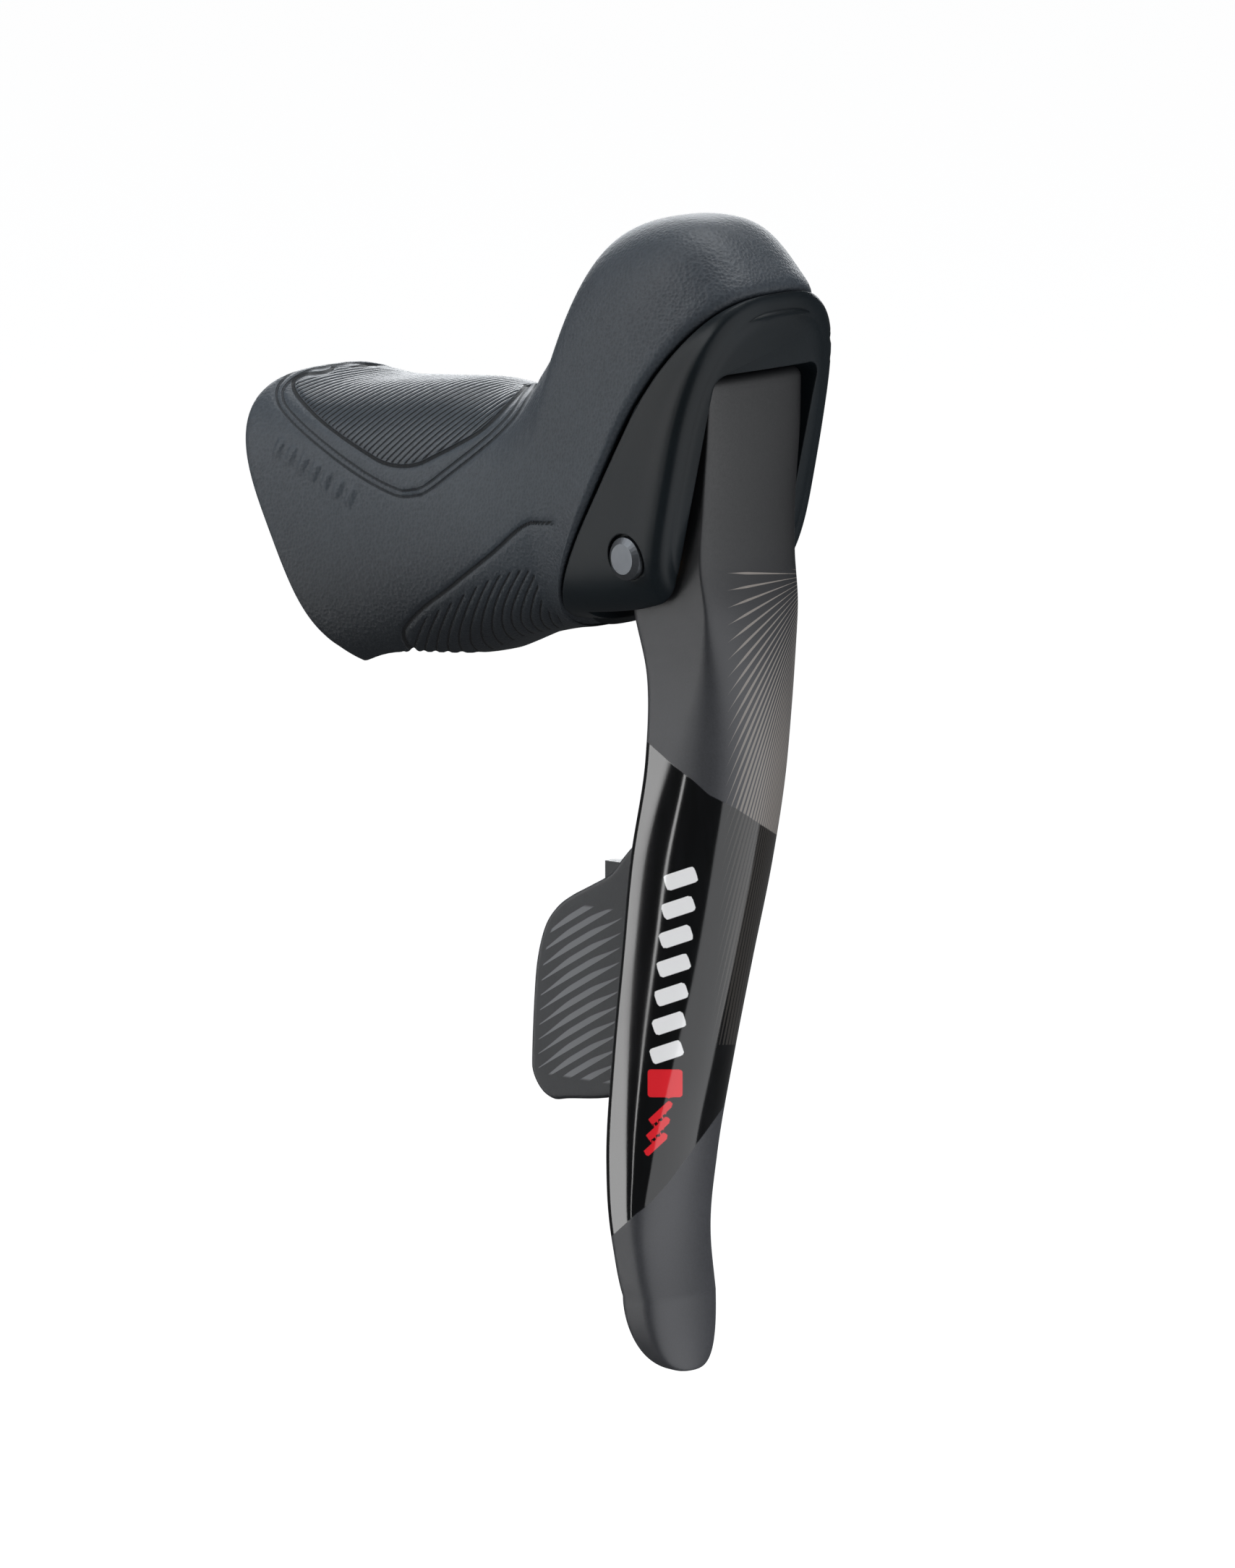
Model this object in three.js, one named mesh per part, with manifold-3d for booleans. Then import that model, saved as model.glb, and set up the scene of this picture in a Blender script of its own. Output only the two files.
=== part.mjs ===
// Brake and shift lever for a drop handlebar, right hand side.
// Units are millimetres, +Z up, +X in the riding direction, -Y is the outer side of the lever.
// All coordinates below are written from the lever pivot; the finished group is shifted so that
// the frame's origin is the centre of the handlebar clamp.
import * as THREE from 'three';
import { mergeVertices } from 'three/addons/utils/BufferGeometryUtils.js';
import Module from 'manifold-3d';

const wasm = await Module();
wasm.setup();

// ---------------------------------------------------------------- driving dimensions
const PIVOT = [63, 0, 1.6];              // lever pivot seen from the clamp centre
const BAR_R = 11.9;                     // handlebar radius at the clamp
const BAR_AXIS = [0.39, 0, -0.92];      // handlebar direction at the clamp
const BAR_N = [0.92, 0, 0.39];          // forward normal of the bar
const HOOD_WALL = 2.3;                  // rubber thickness
const BODY_GAP = 0.3;                   // clearance between rubber and bracket
const CHEEK_GAP = 0.6;                  // bracket shoulder below the rubber surface
const SLOT_HALF = 10.2;                 // half width of the lever slot
const SLOT_TOP = 27.6;
const SLOT_BACK = -12.6;
const CELL_X = -2.0;                     // coin cell centre in the head
const PIN_R = 3.1, PIN_HEAD_R = 3.55, PIN_END_R = 2.2;
const N_PHI = 15;                       // half of the points round a hood section
const N_U = 20;                         // hood sections

// hood stations: u, bottom x z, top x z, half width, widest place, top and bottom exponents, side set-back, top bow
const HOOD = [
  [0.00, -57.05, -22.90, -79.98, 16.48, 19.5, .50, 3.2, 3.4, 3.0, 0.0],
  [0.10, -55.04, -24.63, -69.93, 15.89, 19.0, .50, 3.1, 3.2, 2.0, 0.0],
  [0.22, -49.01, -23.59, -58.88, 16.99, 18.0, .48, 2.8, 2.8, 1.0, 0.0],
  [0.36, -40.81, -20.70, -46.62, 18.47, 16.8, .46, 2.5, 2.4, 0.0, 0.0],
  [0.50, -32.33, -17.25, -34.99, 19.11, 16.0, .45, 2.3, 2.2, 0.0, 0.0],
  [0.60, -28.04, -15.98, -26.91, 22.27, 15.6, .46, 2.3, 2.2, 0.0, 0.0],
  [0.70, -24.16, -15.03, -18.55, 32.60, 15.4, .44, 2.3, 2.2, 0.0, 0.0],
  [0.80, -21.16, -14.45, -11.44, 44.80, 15.4, .42, 2.5, 2.3, 0.0, 0.0],
  [0.90, -19.35, -14.00,   3.20, 48.40, 15.6, .40, 2.8, 2.5, 0.0, 1.5],
  [1.00, -19.79, -14.07,  12.00, 42.00, 15.8, .40, 3.0, 2.6, 0.0, 4.5],
];
// blade stations: v, z, rear x, flank corner x, front crown x, half width, side offset
const BLADE = [
  [0.00,   24.8,  -2.06, 11.20, 11.90, 9.01,  0.0],
  [0.06,   18.0,  -3.11, 10.80, 11.80, 9.16,  0.0],
  [0.13,    8.0,  -4.73,  9.80, 11.00, 9.19,  0.0],
  [0.19,    0.0,  -5.66,  9.47, 10.66, 9.41,  0.0],
  [0.26,   -8.5,  -5.26, 10.19, 12.21, 9.13,  0.0],
  [0.33,  -18.0,  -2.69,  7.87, 13.65, 8.95,  0.0],
  [0.41,  -30.0,  -2.43,  2.61, 13.81, 9.35, -0.1],
  [0.51,  -45.0,  -4.85, -2.43, 11.24, 9.83, -0.3],
  [0.61,  -60.0,  -7.05, -4.88,  7.71, 9.23, -0.7],
  [0.71,  -75.0,  -9.02, -5.54,  3.87, 8.72, -1.2],
  [0.81,  -90.0, -10.33, -5.49,  0.26, 8.07, -1.7],
  [0.90, -102.0,  -9.34, -4.74, -1.19, 7.52, -2.0],
  [0.96, -111.0,  -6.99, -2.31,  0.87, 6.72, -2.2],
  [1.00, -116.5,  -5.14,  0.96,  3.15, 4.42, -2.2],
];

// ---------------------------------------------------------------- small maths
function herm(table, col) {
  const u = table.map((r) => r[0]), v = table.map((r) => r[col]), n = u.length;
  const d = [], h = [], m = new Array(n).fill(0);
  for (let i = 0; i < n - 1; i++) { h.push(u[i + 1] - u[i]); d.push((v[i + 1] - v[i]) / h[i]); }
  m[0] = d[0]; m[n - 1] = d[n - 2];
  for (let i = 1; i < n - 1; i++) m[i] = (d[i - 1] * h[i] + d[i] * h[i - 1]) / (h[i] + h[i - 1]);
  return (x) => {
    let i = 0;
    while (i < n - 2 && x > u[i + 1]) i++;
    const t = (x - u[i]) / h[i], q = 1 - t;
    return (1 + 2 * t) * q * q * v[i] + t * q * q * h[i] * m[i] + t * t * (3 - 2 * t) * v[i + 1] + t * t * (t - 1) * h[i] * m[i + 1];
  };
}
const HF = [1, 2, 3, 4, 5, 6, 7, 8, 9, 10].map((k) => herm(HOOD, k));
const BF = [1, 2, 3, 4, 5, 6].map((k) => herm(BLADE, k));

// one closed section between a bottom and a top point, in the plane they span with Y
function ring(bx, bz, tx, tz, w, p, nT, nB, off, fw, half = N_PHI) {
  const L = Math.hypot(tx - bx, tz - bz), dx = (tx - bx) / L, dz = (tz - bz) / L;
  const out = [];
  for (let i = 0; i < 2 * half; i++) {
    const phi = -Math.PI + (i + 0.0) * Math.PI / half;
    const s = Math.sin(phi), c = Math.cos(phi), n = s > 0 ? nT : nB;
    const as = Math.abs(s) < 1e-9 ? 0 : Math.abs(s), ac = Math.abs(c) < 1e-9 ? 0 : Math.abs(c);
    const al = (s > 0 ? p + (1 - p) * Math.pow(as, 2 / n) : p - p * Math.pow(as, 2 / n)) * L;
    const y = -Math.sign(c) * w * Math.pow(ac, 2 / n);
    const k = Math.min(1, Math.max(0, (al / L - 0.55) / 0.45));
    const o = -off * (y / w) * (y / w) + fw * k * k;
    out.push([bx + dx * al + dz * o, y, bz + dz * al - dx * o]);
  }
  return out;
}
function hoodRing(u, inset, half) {
  const [bx, bz, tx, tz, w, p, nT, nB, off, fw] = HF.map((f) => f(u));
  const L = Math.hypot(tx - bx, tz - bz), dx = (tx - bx) / L, dz = (tz - bz) / L;
  return ring(bx + dx * inset, bz + dz * inset, tx - dx * inset, tz - dz * inset, w - inset, p, nT, nB, off, fw, half);
}
const shiftRing = (r, x, y, z) => r.map((q) => [q[0] + x, q[1] + y, q[2] + z]);

// ---------------------------------------------------------------- solids
function geoFromTris(verts, tris) {
  const g = new THREE.BufferGeometry();
  g.setAttribute('position', new THREE.Float32BufferAttribute(verts.flat(), 3));
  g.setIndex(tris.flat());
  return g;
}
// skin a list of rings of equal length, first to last, closed by a fan at both ends
function skin(rings) {
  const n = rings[0].length, verts = rings.flat(), tris = [];
  for (let i = 0; i < rings.length - 1; i++)
    for (let j = 0; j < n; j++) {
      const a = i * n + j, b = i * n + (j + 1) % n, c = a + n, d = b + n;
      if ((i + j) % 2) tris.push([a, c, d], [a, d, b]); else tris.push([a, c, b], [b, c, d]);
    }
  const cen = (r) => r.reduce((s, q) => [s[0] + q[0] / n, s[1] + q[1] / n, s[2] + q[2] / n], [0, 0, 0]);
  const c0 = verts.length; verts.push(cen(rings[0]));
  const c1 = verts.length; verts.push(cen(rings[rings.length - 1]));
  const last = (rings.length - 1) * n;
  for (let j = 0; j < n; j++) {
    tris.push([c0, j, (j + 1) % n]);
    tris.push([c1, last + (j + 1) % n, last + j]);
  }
  let vol = 0;
  for (const [a, b, c] of tris) {
    const A = verts[a], B = verts[b], C = verts[c];
    vol += A[0] * (B[1] * C[2] - B[2] * C[1]) + A[1] * (B[2] * C[0] - B[0] * C[2]) + A[2] * (B[0] * C[1] - B[1] * C[0]);
  }
  if (vol < 0) for (const t of tris) t.reverse();
  return solid(geoFromTris(verts, tris));
}
function solid(geo) {
  let g = geo.clone();
  for (const k of Object.keys(g.attributes)) if (k !== 'position') g.deleteAttribute(k);
  g = mergeVertices(g, 1e-5);
  const idx = g.index.array, keep = [];
  for (let i = 0; i < idx.length; i += 3)
    if (idx[i] !== idx[i + 1] && idx[i + 1] !== idx[i + 2] && idx[i] !== idx[i + 2]) keep.push(idx[i], idx[i + 1], idx[i + 2]);
  const p = g.attributes.position.array;
  let vol = 0;
  for (let i = 0; i < keep.length; i += 3) {
    const a = 3 * keep[i], b = 3 * keep[i + 1], c = 3 * keep[i + 2];
    vol += p[a] * (p[b + 1] * p[c + 2] - p[b + 2] * p[c + 1]) + p[a + 1] * (p[b + 2] * p[c] - p[b] * p[c + 2]) + p[a + 2] * (p[b] * p[c + 1] - p[b + 1] * p[c]);
  }
  if (vol < 0) keep.reverse();
  return new wasm.Manifold(new wasm.Mesh({ numProp: 3, vertProperties: new Float32Array(p), triVerts: new Uint32Array(keep) }));
}
const V = (a) => new THREE.Vector3(a[0], a[1], a[2]);
function place(geo, at = [0, 0, 0], dir = null, spin = 0) {
  const m = new THREE.Matrix4();
  if (dir) m.makeRotationFromQuaternion(new THREE.Quaternion().setFromUnitVectors(new THREE.Vector3(0, 0, 1), V(dir).normalize()));
  if (spin) m.multiply(new THREE.Matrix4().makeRotationZ(spin));
  m.setPosition(at[0], at[1], at[2]);
  return geo.clone().applyMatrix4(m);
}
// box given by its centre along a frame: size a x b x c, local Z along dir
function boxG(sx, sy, sz, at, dir = null, spin = 0) { return place(new THREE.BoxGeometry(sx, sy, sz), at, dir, spin); }
function boxMM(lo, hi) {
  return new THREE.BoxGeometry(hi[0] - lo[0], hi[1] - lo[1], hi[2] - lo[2]).translate((lo[0] + hi[0]) / 2, (lo[1] + hi[1]) / 2, (lo[2] + hi[2]) / 2);
}
// turned solid: profile [r, z] from bottom axis point to top axis point
function turn(profile, at, dir, seg = 24) {
  const g = new THREE.LatheGeometry(profile.map(([r, z]) => new THREE.Vector2(r, z)), seg);
  g.rotateX(Math.PI / 2);             // lathe axis Y -> Z
  return place(g, at, dir);
}
function rod(r, h, at, dir, seg = 24) { return turn([[0, 0], [r, 0], [r, h], [0, h]], at, dir, seg); }
function tubeG(ri, ro, h, at, dir, seg = 24) { return turn([[ri, 0], [ro, 0], [ro, h], [ri, h], [ri, 0]], at, dir, seg); }
function sub(a, ...bs) { let m = a; for (const b of bs) m = m.subtract(b instanceof THREE.BufferGeometry ? solid(b) : b); return m; }
function add(a, ...bs) { let m = a; for (const b of bs) m = m.add(b instanceof THREE.BufferGeometry ? solid(b) : b); return m; }
function toGeo(m) {
  const q = m.getMesh(), g = new THREE.BufferGeometry();
  const np = q.numProp, vp = q.vertProperties, pos = new Float32Array(vp.length / np * 3);
  for (let i = 0; i < vp.length / np; i++) for (let k = 0; k < 3; k++) pos[3 * i + k] = vp[np * i + k];
  g.setAttribute('position', new THREE.BufferAttribute(pos, 3));
  g.setIndex(Array.from(q.triVerts));
  g.computeVertexNormals();
  return g;
}
// point at distances a (forward), b (along the bar), y from the clamp centre
const CL = [-PIVOT[0], 0, -PIVOT[2]];
const barPt = (a, b, y = 0) => [CL[0] + BAR_N[0] * a + BAR_AXIS[0] * b, y, CL[2] + BAR_N[2] * a + BAR_AXIS[2] * b];
// box in the clamp's frame
function barBox(a0, a1, y0, y1, b0, b1) {
  const g = new THREE.BoxGeometry(a1 - a0, y1 - y0, b1 - b0).translate((a0 + a1) / 2, (y0 + y1) / 2, (b0 + b1) / 2);
  const N = V(BAR_N).normalize(), T = V(BAR_AXIS).normalize(), Y = new THREE.Vector3().crossVectors(T, N);
  const m = new THREE.Matrix4().makeBasis(N, Y, T); m.setPosition(CL[0], 0, CL[2]);
  return g.applyMatrix4(m);
}

// ---------------------------------------------------------------- materials
const mat = (c, r, m = 0) => new THREE.MeshStandardMaterial({ color: c, roughness: r, metalness: m });
const RUBBER = mat(0x30343a, 0.75), RESIN = mat(0x14181a, 0.35), CARBON = mat(0x3a3b3d, 0.4), STEEL = mat(0x8d9196, 0.3, 1);
const BLACKSTEEL = mat(0x1c1f22, 0.3, 0.9), ALLOY = mat(0x9aa0a6, 0.35, 1), PADDLE = mat(0x2c2f33, 0.5), BOARD = mat(0x1d5a35, 0.6);
const BRASS = mat(0xb08a48, 0.35, 1), POLYMER = mat(0x202326, 0.6), LENS = mat(0xdfe6ea, 0.15), SOFT = mat(0x1b1c1e, 0.9);

const group = new THREE.Group();
const inner = new THREE.Group();
inner.position.set(PIVOT[0], PIVOT[1], PIVOT[2]);
group.add(inner);
function part(name, geo, material) {
  const g = geo instanceof THREE.BufferGeometry ? toGeo(solid(geo)) : toGeo(geo);
  const mesh = new THREE.Mesh(g, material);
  mesh.name = name;
  inner.add(mesh);
}

// ---------------------------------------------------------------- hood and bracket
const us = Array.from({ length: N_U }, (_, i) => i / (N_U - 1));
const outerHood = skin(us.map((u) => hoodRing(u, 0)));
function envelope(inset, u0, ext0, ext1) {
  const list = us.filter((u) => u >= u0 - 1e-9).map((u) => hoodRing(u, inset));
  const n0 = HF.map((f) => f(u0)), L0 = Math.hypot(n0[2] - n0[0], n0[3] - n0[1]);
  if (ext0) list.unshift(shiftRing(list[0], -ext0 * (n0[3] - n0[1]) / L0, 0, ext0 * (n0[2] - n0[0]) / L0));
  if (ext1) list.push(shiftRing(list[list.length - 1], ext1 * 0.87, 0, -ext1 * 0.49));
  return skin(list);
}
const hoodHollow = envelope(HOOD_WALL, 0, 9, 9);
const barExit = rod(13.4, 40, barPt(0, 6), BAR_AXIS, 32);          // the bar leaves downwards through the open rear
const hoodCover = sub(outerHood, hoodHollow, barExit, barBox(-14, 19.8, -13.3, 13.3, -3.6, 3.6));   // relief for the strap
part('hood_cover', hoodCover, RUBBER);

// bracket: the same form inside the rubber, then the bare nose ahead of the rubber's rim
const gripBody = envelope(HOOD_WALL + BODY_GAP, 0.125, 0, 0);
const noseRing = (bx, bz, tx, tz, w, fw, p = 0.4) => ring(bx, bz, tx, tz, w, p, 3.1, 3.4, 0, fw);
const nose = skin([
  noseRing(-18.3, -12.4, 12.0, 40.9, 15.0, 4.5),
  noseRing(-12.0, -11.6, 12.7, 40.4, 15.1, 4.0),
  noseRing( -4.0, -10.2, 13.5, 39.6, 15.1, 3.0),
  noseRing(  1.6,  -8.6, 14.2, 38.7, 15.1, 2.4),
  noseRing(  3.6,  -7.6, 14.7, 37.9, 14.7, 2.0),
  noseRing(  4.8,  -6.4, 15.1, 36.8, 13.9, 1.6),
  noseRing(  5.2,  -5.2, 15.3, 35.6, 12.6, 1.2),
]);
// joining core between the two, inside the rubber's opening
const core = skin([
  hoodRing(1, HOOD_WALL + BODY_GAP).map((q) => [q[0] - 0.9, q[1], q[2] + 0.5]),
  hoodRing(1, HOOD_WALL + BODY_GAP).map((q) => [q[0] + 2.6, q[1], q[2] - 1.5]),
]);
// room for the rubber and its clearance
const outerList = us.map((u) => hoodRing(u, -0.3));
outerList.push(shiftRing(outerList[outerList.length - 1], 0.62, 0, -0.35));
const rubberRoom = sub(skin(outerList), envelope(HOOD_WALL + 0.2, 0, 9, 9));
let body = sub(add(gripBody, core, nose), rubberRoom);
const pinHole = rod(PIN_R + 0.05, 40, [0, -20, 0], [0, 1, 0], 32);
// lever slot with a rounded top
const slotShape = new THREE.Shape();
slotShape.moveTo(-SLOT_HALF, -34); slotShape.lineTo(SLOT_HALF, -34); slotShape.lineTo(SLOT_HALF, SLOT_TOP - 2.2);
slotShape.absarc(SLOT_HALF - 2.2, SLOT_TOP - 2.2, 2.2, 0, Math.PI / 2, false);
slotShape.absarc(-SLOT_HALF + 2.2, SLOT_TOP - 2.2, 2.2, Math.PI / 2, Math.PI, false);
slotShape.closePath();
const slotG = new THREE.ExtrudeGeometry(slotShape, { depth: 40, bevelEnabled: false, curveSegments: 4 });
// shape X,Y -> object Y,Z ; depth -> object X
slotG.applyMatrix4(new THREE.Matrix4().set(0, 0, 1, SLOT_BACK, 1, 0, 0, 0, 0, 1, 0, 0, 0, 0, 0, 1));
// cable and housing way
const CAB_A = [-12, -2.0, 6.5], CAB_S = [-38, -7.5, -4.6], CAB_E = [-50, -9.9, -9.3];
const dirOf = (a, b) => { const d = V(b).sub(V(a)); return [d.x, d.y, d.z]; };
const lenOf = (a, b) => V(b).sub(V(a)).length();
const cableBore = rod(1.25, lenOf(CAB_S, CAB_A) + 8, CAB_S, dirOf(CAB_S, CAB_A), 12);
const seatBore = rod(2.7, 18, CAB_S, dirOf(CAB_S, CAB_E), 20);
body = sub(body,
  rod(BAR_R + 0.25, 90, barPt(0, -45), BAR_AXIS, 48),
  barBox(-30, 2, -30, 30, -50, 50),
  slotG, pinHole,
  rod(PIN_HEAD_R + 0.05, 6, [0, -20, 0], [0, 1, 0], 32),
  rod(PIN_HEAD_R + 1.2, 6, [0, 13.6, 0], [0, 1, 0], 24),
  barBox(0, 20, -14.0, 14.0, -4.6, 4.6),
  rod(2.65, 30, barPt(12, 0), BAR_N, 20),
  rod(4.9, 30, barPt(21.2, 0), BAR_N, 24),
  cableBore, seatBore,
  // cell pocket and door recess in the top of the head, under the rubber
  rod(6.5, 20, [CELL_X, 0, 31.8], [0, 0, 1], 28),
  rod(9.2, 20, [CELL_X, 0, 36.4], [0, 0, 1], 32),
  // board pocket and cover ledge on the inner side of the grip
  boxMM([-36.5, 3, -3.5], [-21.5, 20, 6.2]), boxMM([-40.5, 8.6, -4.8], [-17.5, 20, 7.5]),
  // button, light and plug holes
  rod(1.9, 10, [12.4, 8.8, 31.2], [0, 1, 0], 20),
  rod(0.95, 10, [12.2, 10.6, 27.7], [0, 1, 0], 12),
  rod(2.3, 12, [-26.0, 6.5, 11.4], [0, 1, 0], 16), rod(2.3, 12, [-19.5, 6.5, 12.4], [0, 1, 0], 16),
  // bumper seat
  rod(2.6, 4, [SLOT_BACK - 2.2, 0, 20.6], [1, 0, 0], 16),
);
const DOOR_SCREWS = [90, 210, 330].map((d) => [CELL_X + 7.7 * Math.cos(d * Math.PI / 180), 7.7 * Math.sin(d * Math.PI / 180)]);
for (const [x, y] of DOOR_SCREWS) body = sub(body, rod(0.85, 8, [x, y, 32.2], [0, 0, 1], 10));
const COVER_SCREWS = [[-38.5, 1.3], [-19.5, 1.3]];
for (const [x, z] of COVER_SCREWS) body = sub(body, rod(0.85, 8, [x, 5.2, z], [0, 1, 0], 10));
part('bracket_body', body, RESIN);

// small parts inside the head
part('battery_cell', turn([[0, 0], [5.9, 0], [6.2, 0.3], [6.2, 2.2], [5.6, 2.5], [0, 2.5]], [CELL_X, 0, 32.7], [0, 0, 1], 28), STEEL);
part('battery_contact', add(solid(rod(5.0, 0.25, [CELL_X, 0, 32.05], [0, 0, 1], 20)), boxMM([CELL_X - 1, -5.9, 32.05], [CELL_X + 1, -4, 32.3])), BRASS);
let door = solid(turn([[0, 0], [8.7, 0], [8.8, 0.2], [8.8, 1.1], [8.5, 1.5], [4.6, 1.5], [4.3, 2.1], [0, 2.1]], [CELL_X, 0, 37.0], [0, 0, 1], 32));
for (const [x, y] of DOOR_SCREWS) door = sub(door, rod(0.95, 6, [x, y, 36], [0, 0, 1], 10));
door = sub(door, boxMM([CELL_X - 2.6, -0.5, 38.4], [CELL_X + 2.6, 0.5, 42]));
part('battery_door', door, POLYMER);
part('door_gasket', tubeG(6.6, 6.88, 0.4, [CELL_X, 0, 36.5], [0, 0, 1], 28), SOFT);
DOOR_SCREWS.forEach(([x, y], i) => {
  let s = solid(turn([[0, 0], [0.75, 0], [0.75, 5.2], [1.25, 5.3], [1.25, 6.0], [1.0, 6.2], [0, 6.2]], [x, y, 33.3], [0, 0, 1], 12));
  s = sub(s, boxMM([x - 0.8, y - 0.15, 39.15], [x + 0.8, y + 0.15, 40]));
  part('door_screw_' + (i + 1), s, STEEL);
});
// circuit board under its cover
let board = solid(boxMM([-36.1, 3.3, -3.1], [-21.9, 4.3, 5.8]));
for (const [x, z, a, b, h] of [[-32.4, 2.6, 4.2, 4.2, 0.9], [-26.6, 3.2, 3.2, 2.4, 1.2], [-27.0, -0.8, 5.0, 1.8, 1.6], [-33.4, -1.4, 2.4, 1.4, 0.8]])
  board = add(board, boxMM([x - a / 2, 4.2, z - b / 2], [x + a / 2, 4.3 + h, z + b / 2]));
part('circuit_board', board, BOARD);
let cover = solid(boxMM([-40.2, 8.9, -4.5], [-17.8, 10.3, 7.2]));
cover = add(cover, boxMM([-35.9, 7.4, -2.9], [-22.1, 9.0, 5.6]));
cover = sub(cover, boxMM([-34.7, 7.0, -1.7], [-23.3, 8.6, 4.4]));
for (const [x, z] of COVER_SCREWS) cover = sub(cover, rod(0.95, 6, [x, 8, z], [0, 1, 0], 10), rod(1.45, 3, [x, 9.8, z], [0, 1, 0], 12));
part('electronics_cover', cover, POLYMER);
COVER_SCREWS.forEach(([x, z], i) => {
  let s = solid(turn([[0, 0], [0.75, 0], [0.75, 4.0], [1.25, 4.1], [1.25, 4.7], [0, 4.7]], [x, 6.0, z], [0, 1, 0], 12));
  s = sub(s, boxMM([x - 0.8, 10.4, z - 0.15], [x + 0.8, 12, z + 0.15]));
  part('cover_screw_' + (i + 1), s, STEEL);
});
part('function_button', turn([[0, 0], [1.75, 0], [1.75, 2.3], [1.45, 2.7], [0, 2.9]], [12.4, 9.7, 31.2], [0, 1, 0], 20), POLYMER);
part('status_light', turn([[0, 0], [0.8, 0], [0.8, 1.4], [0.4, 1.7], [0, 1.75]], [12.2, 10.9, 27.7], [0, 1, 0], 12), LENS);
[[-26.0, 11.4], [-19.5, 12.4]].forEach(([x, z], i) =>
  part('port_plug_' + (i + 1), turn([[0, 0], [1.6, 0], [1.6, 1.4], [2.15, 1.5], [2.15, 2.9], [1.8, 3.2], [0, 3.2]], [x, 6.9, z], [0, 1, 0], 16), SOFT));

// ---------------------------------------------------------------- handlebar clamp
const NUT_A = 16.3;
const RI = BAR_R + 0.25, RO = BAR_R + 1.1;
const strapOutline = new THREE.Shape();
strapOutline.moveTo(NUT_A + 2.8, RO); strapOutline.lineTo(0, RO);
strapOutline.absarc(0, 0, RO, Math.PI / 2, 3 * Math.PI / 2, false);
strapOutline.lineTo(NUT_A + 2.8, -RO); strapOutline.lineTo(NUT_A + 2.8, -RI); strapOutline.lineTo(0, -RI);
strapOutline.absarc(0, 0, RI, 3 * Math.PI / 2, Math.PI / 2, true);
strapOutline.lineTo(NUT_A + 2.8, RI); strapOutline.closePath();
const strapG = new THREE.ExtrudeGeometry(strapOutline, { depth: 6.6, bevelEnabled: false, curveSegments: 20 }).translate(0, 0, -3.3);
const clampBasis = new THREE.Matrix4().makeBasis(V(BAR_N).normalize(), new THREE.Vector3().crossVectors(V(BAR_AXIS).normalize(), V(BAR_N).normalize()), V(BAR_AXIS).normalize());
clampBasis.setPosition(CL[0], 0, CL[2]);
strapG.applyMatrix4(clampBasis);
part('clamp_band', sub(solid(strapG), rod(2.15, 40, barPt(NUT_A, 0, -20), [0, 1, 0], 16)), ALLOY);
const nut = turn([[0, 0], [2.05, 0], [2.05, 1.4], [3.1, 1.4], [3.1, 25.0], [2.05, 25.0], [2.05, 26.4], [0, 26.4]], barPt(NUT_A, 0, -13.2), [0, 1, 0], 20);
part('clamp_nut', sub(solid(nut), rod(2.5, 20, barPt(NUT_A - 10, 0), BAR_N, 20)), STEEL);
part('clamp_washer', tubeG(2.75, 4.5, 0.6, barPt(21.35, 0), BAR_N, 24), STEEL);
const hex = new THREE.CylinderGeometry(1.75, 1.75, 2.2, 6).rotateX(Math.PI / 2).translate(0, 0, 1.1);
part('clamp_bolt', sub(solid(turn([[0, 0], [2.0, 0], [2.42, 0.4], [2.42, 8.7], [3.6, 8.7], [3.6, 11.1], [3.3, 11.4], [0, 11.4]], barPt(13.4, 0), BAR_N, 24)), place(hex, barPt(22.9, 0), BAR_N)), BLACKSTEEL);
part('housing_stop', turn([[1.3, 0], [2.4, 0], [2.4, 8.0], [2.1, 8.0], [2.1, 1.2], [1.3, 1.2], [1.3, 0]], V(CAB_S).add(V(dirOf(CAB_S, CAB_E)).normalize().multiplyScalar(0.3)).toArray(), dirOf(CAB_S, CAB_E), 20), ALLOY);

// ---------------------------------------------------------------- lever pivot
let pin = solid(turn([[0, 0], [PIN_END_R, 0], [PIN_R, 0.6], [PIN_R, 29.2], [2.5, 29.2], [2.5, 30.0], [PIN_R - 0.1, 30.0], [2.6, 30.5], [0, 30.5]], [0, -15.5, 0], [0, 1, 0], 32));
part('lever_pivot_pin', pin, STEEL);
part('pivot_clip', sub(solid(tubeG(2.55, 4.3, 0.6, [0, 13.8, 0], [0, 1, 0], 20)), boxMM([-1.6, 13, -6], [1.6, 15, 0])), BLACKSTEEL);
for (const [name, sgn] of [['lever_bush_outer', -1], ['lever_bush_inner', 1]])
  part(name, turn([[PIN_R + 0.06, 0], [4.0, 0], [4.0, 3.05], [5.2, 3.05], [5.2, 3.45], [PIN_R + 0.06, 3.45], [PIN_R + 0.06, 0]], [0, sgn * 6.5, 0], [0, sgn, 0], 24), BRASS);

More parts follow.
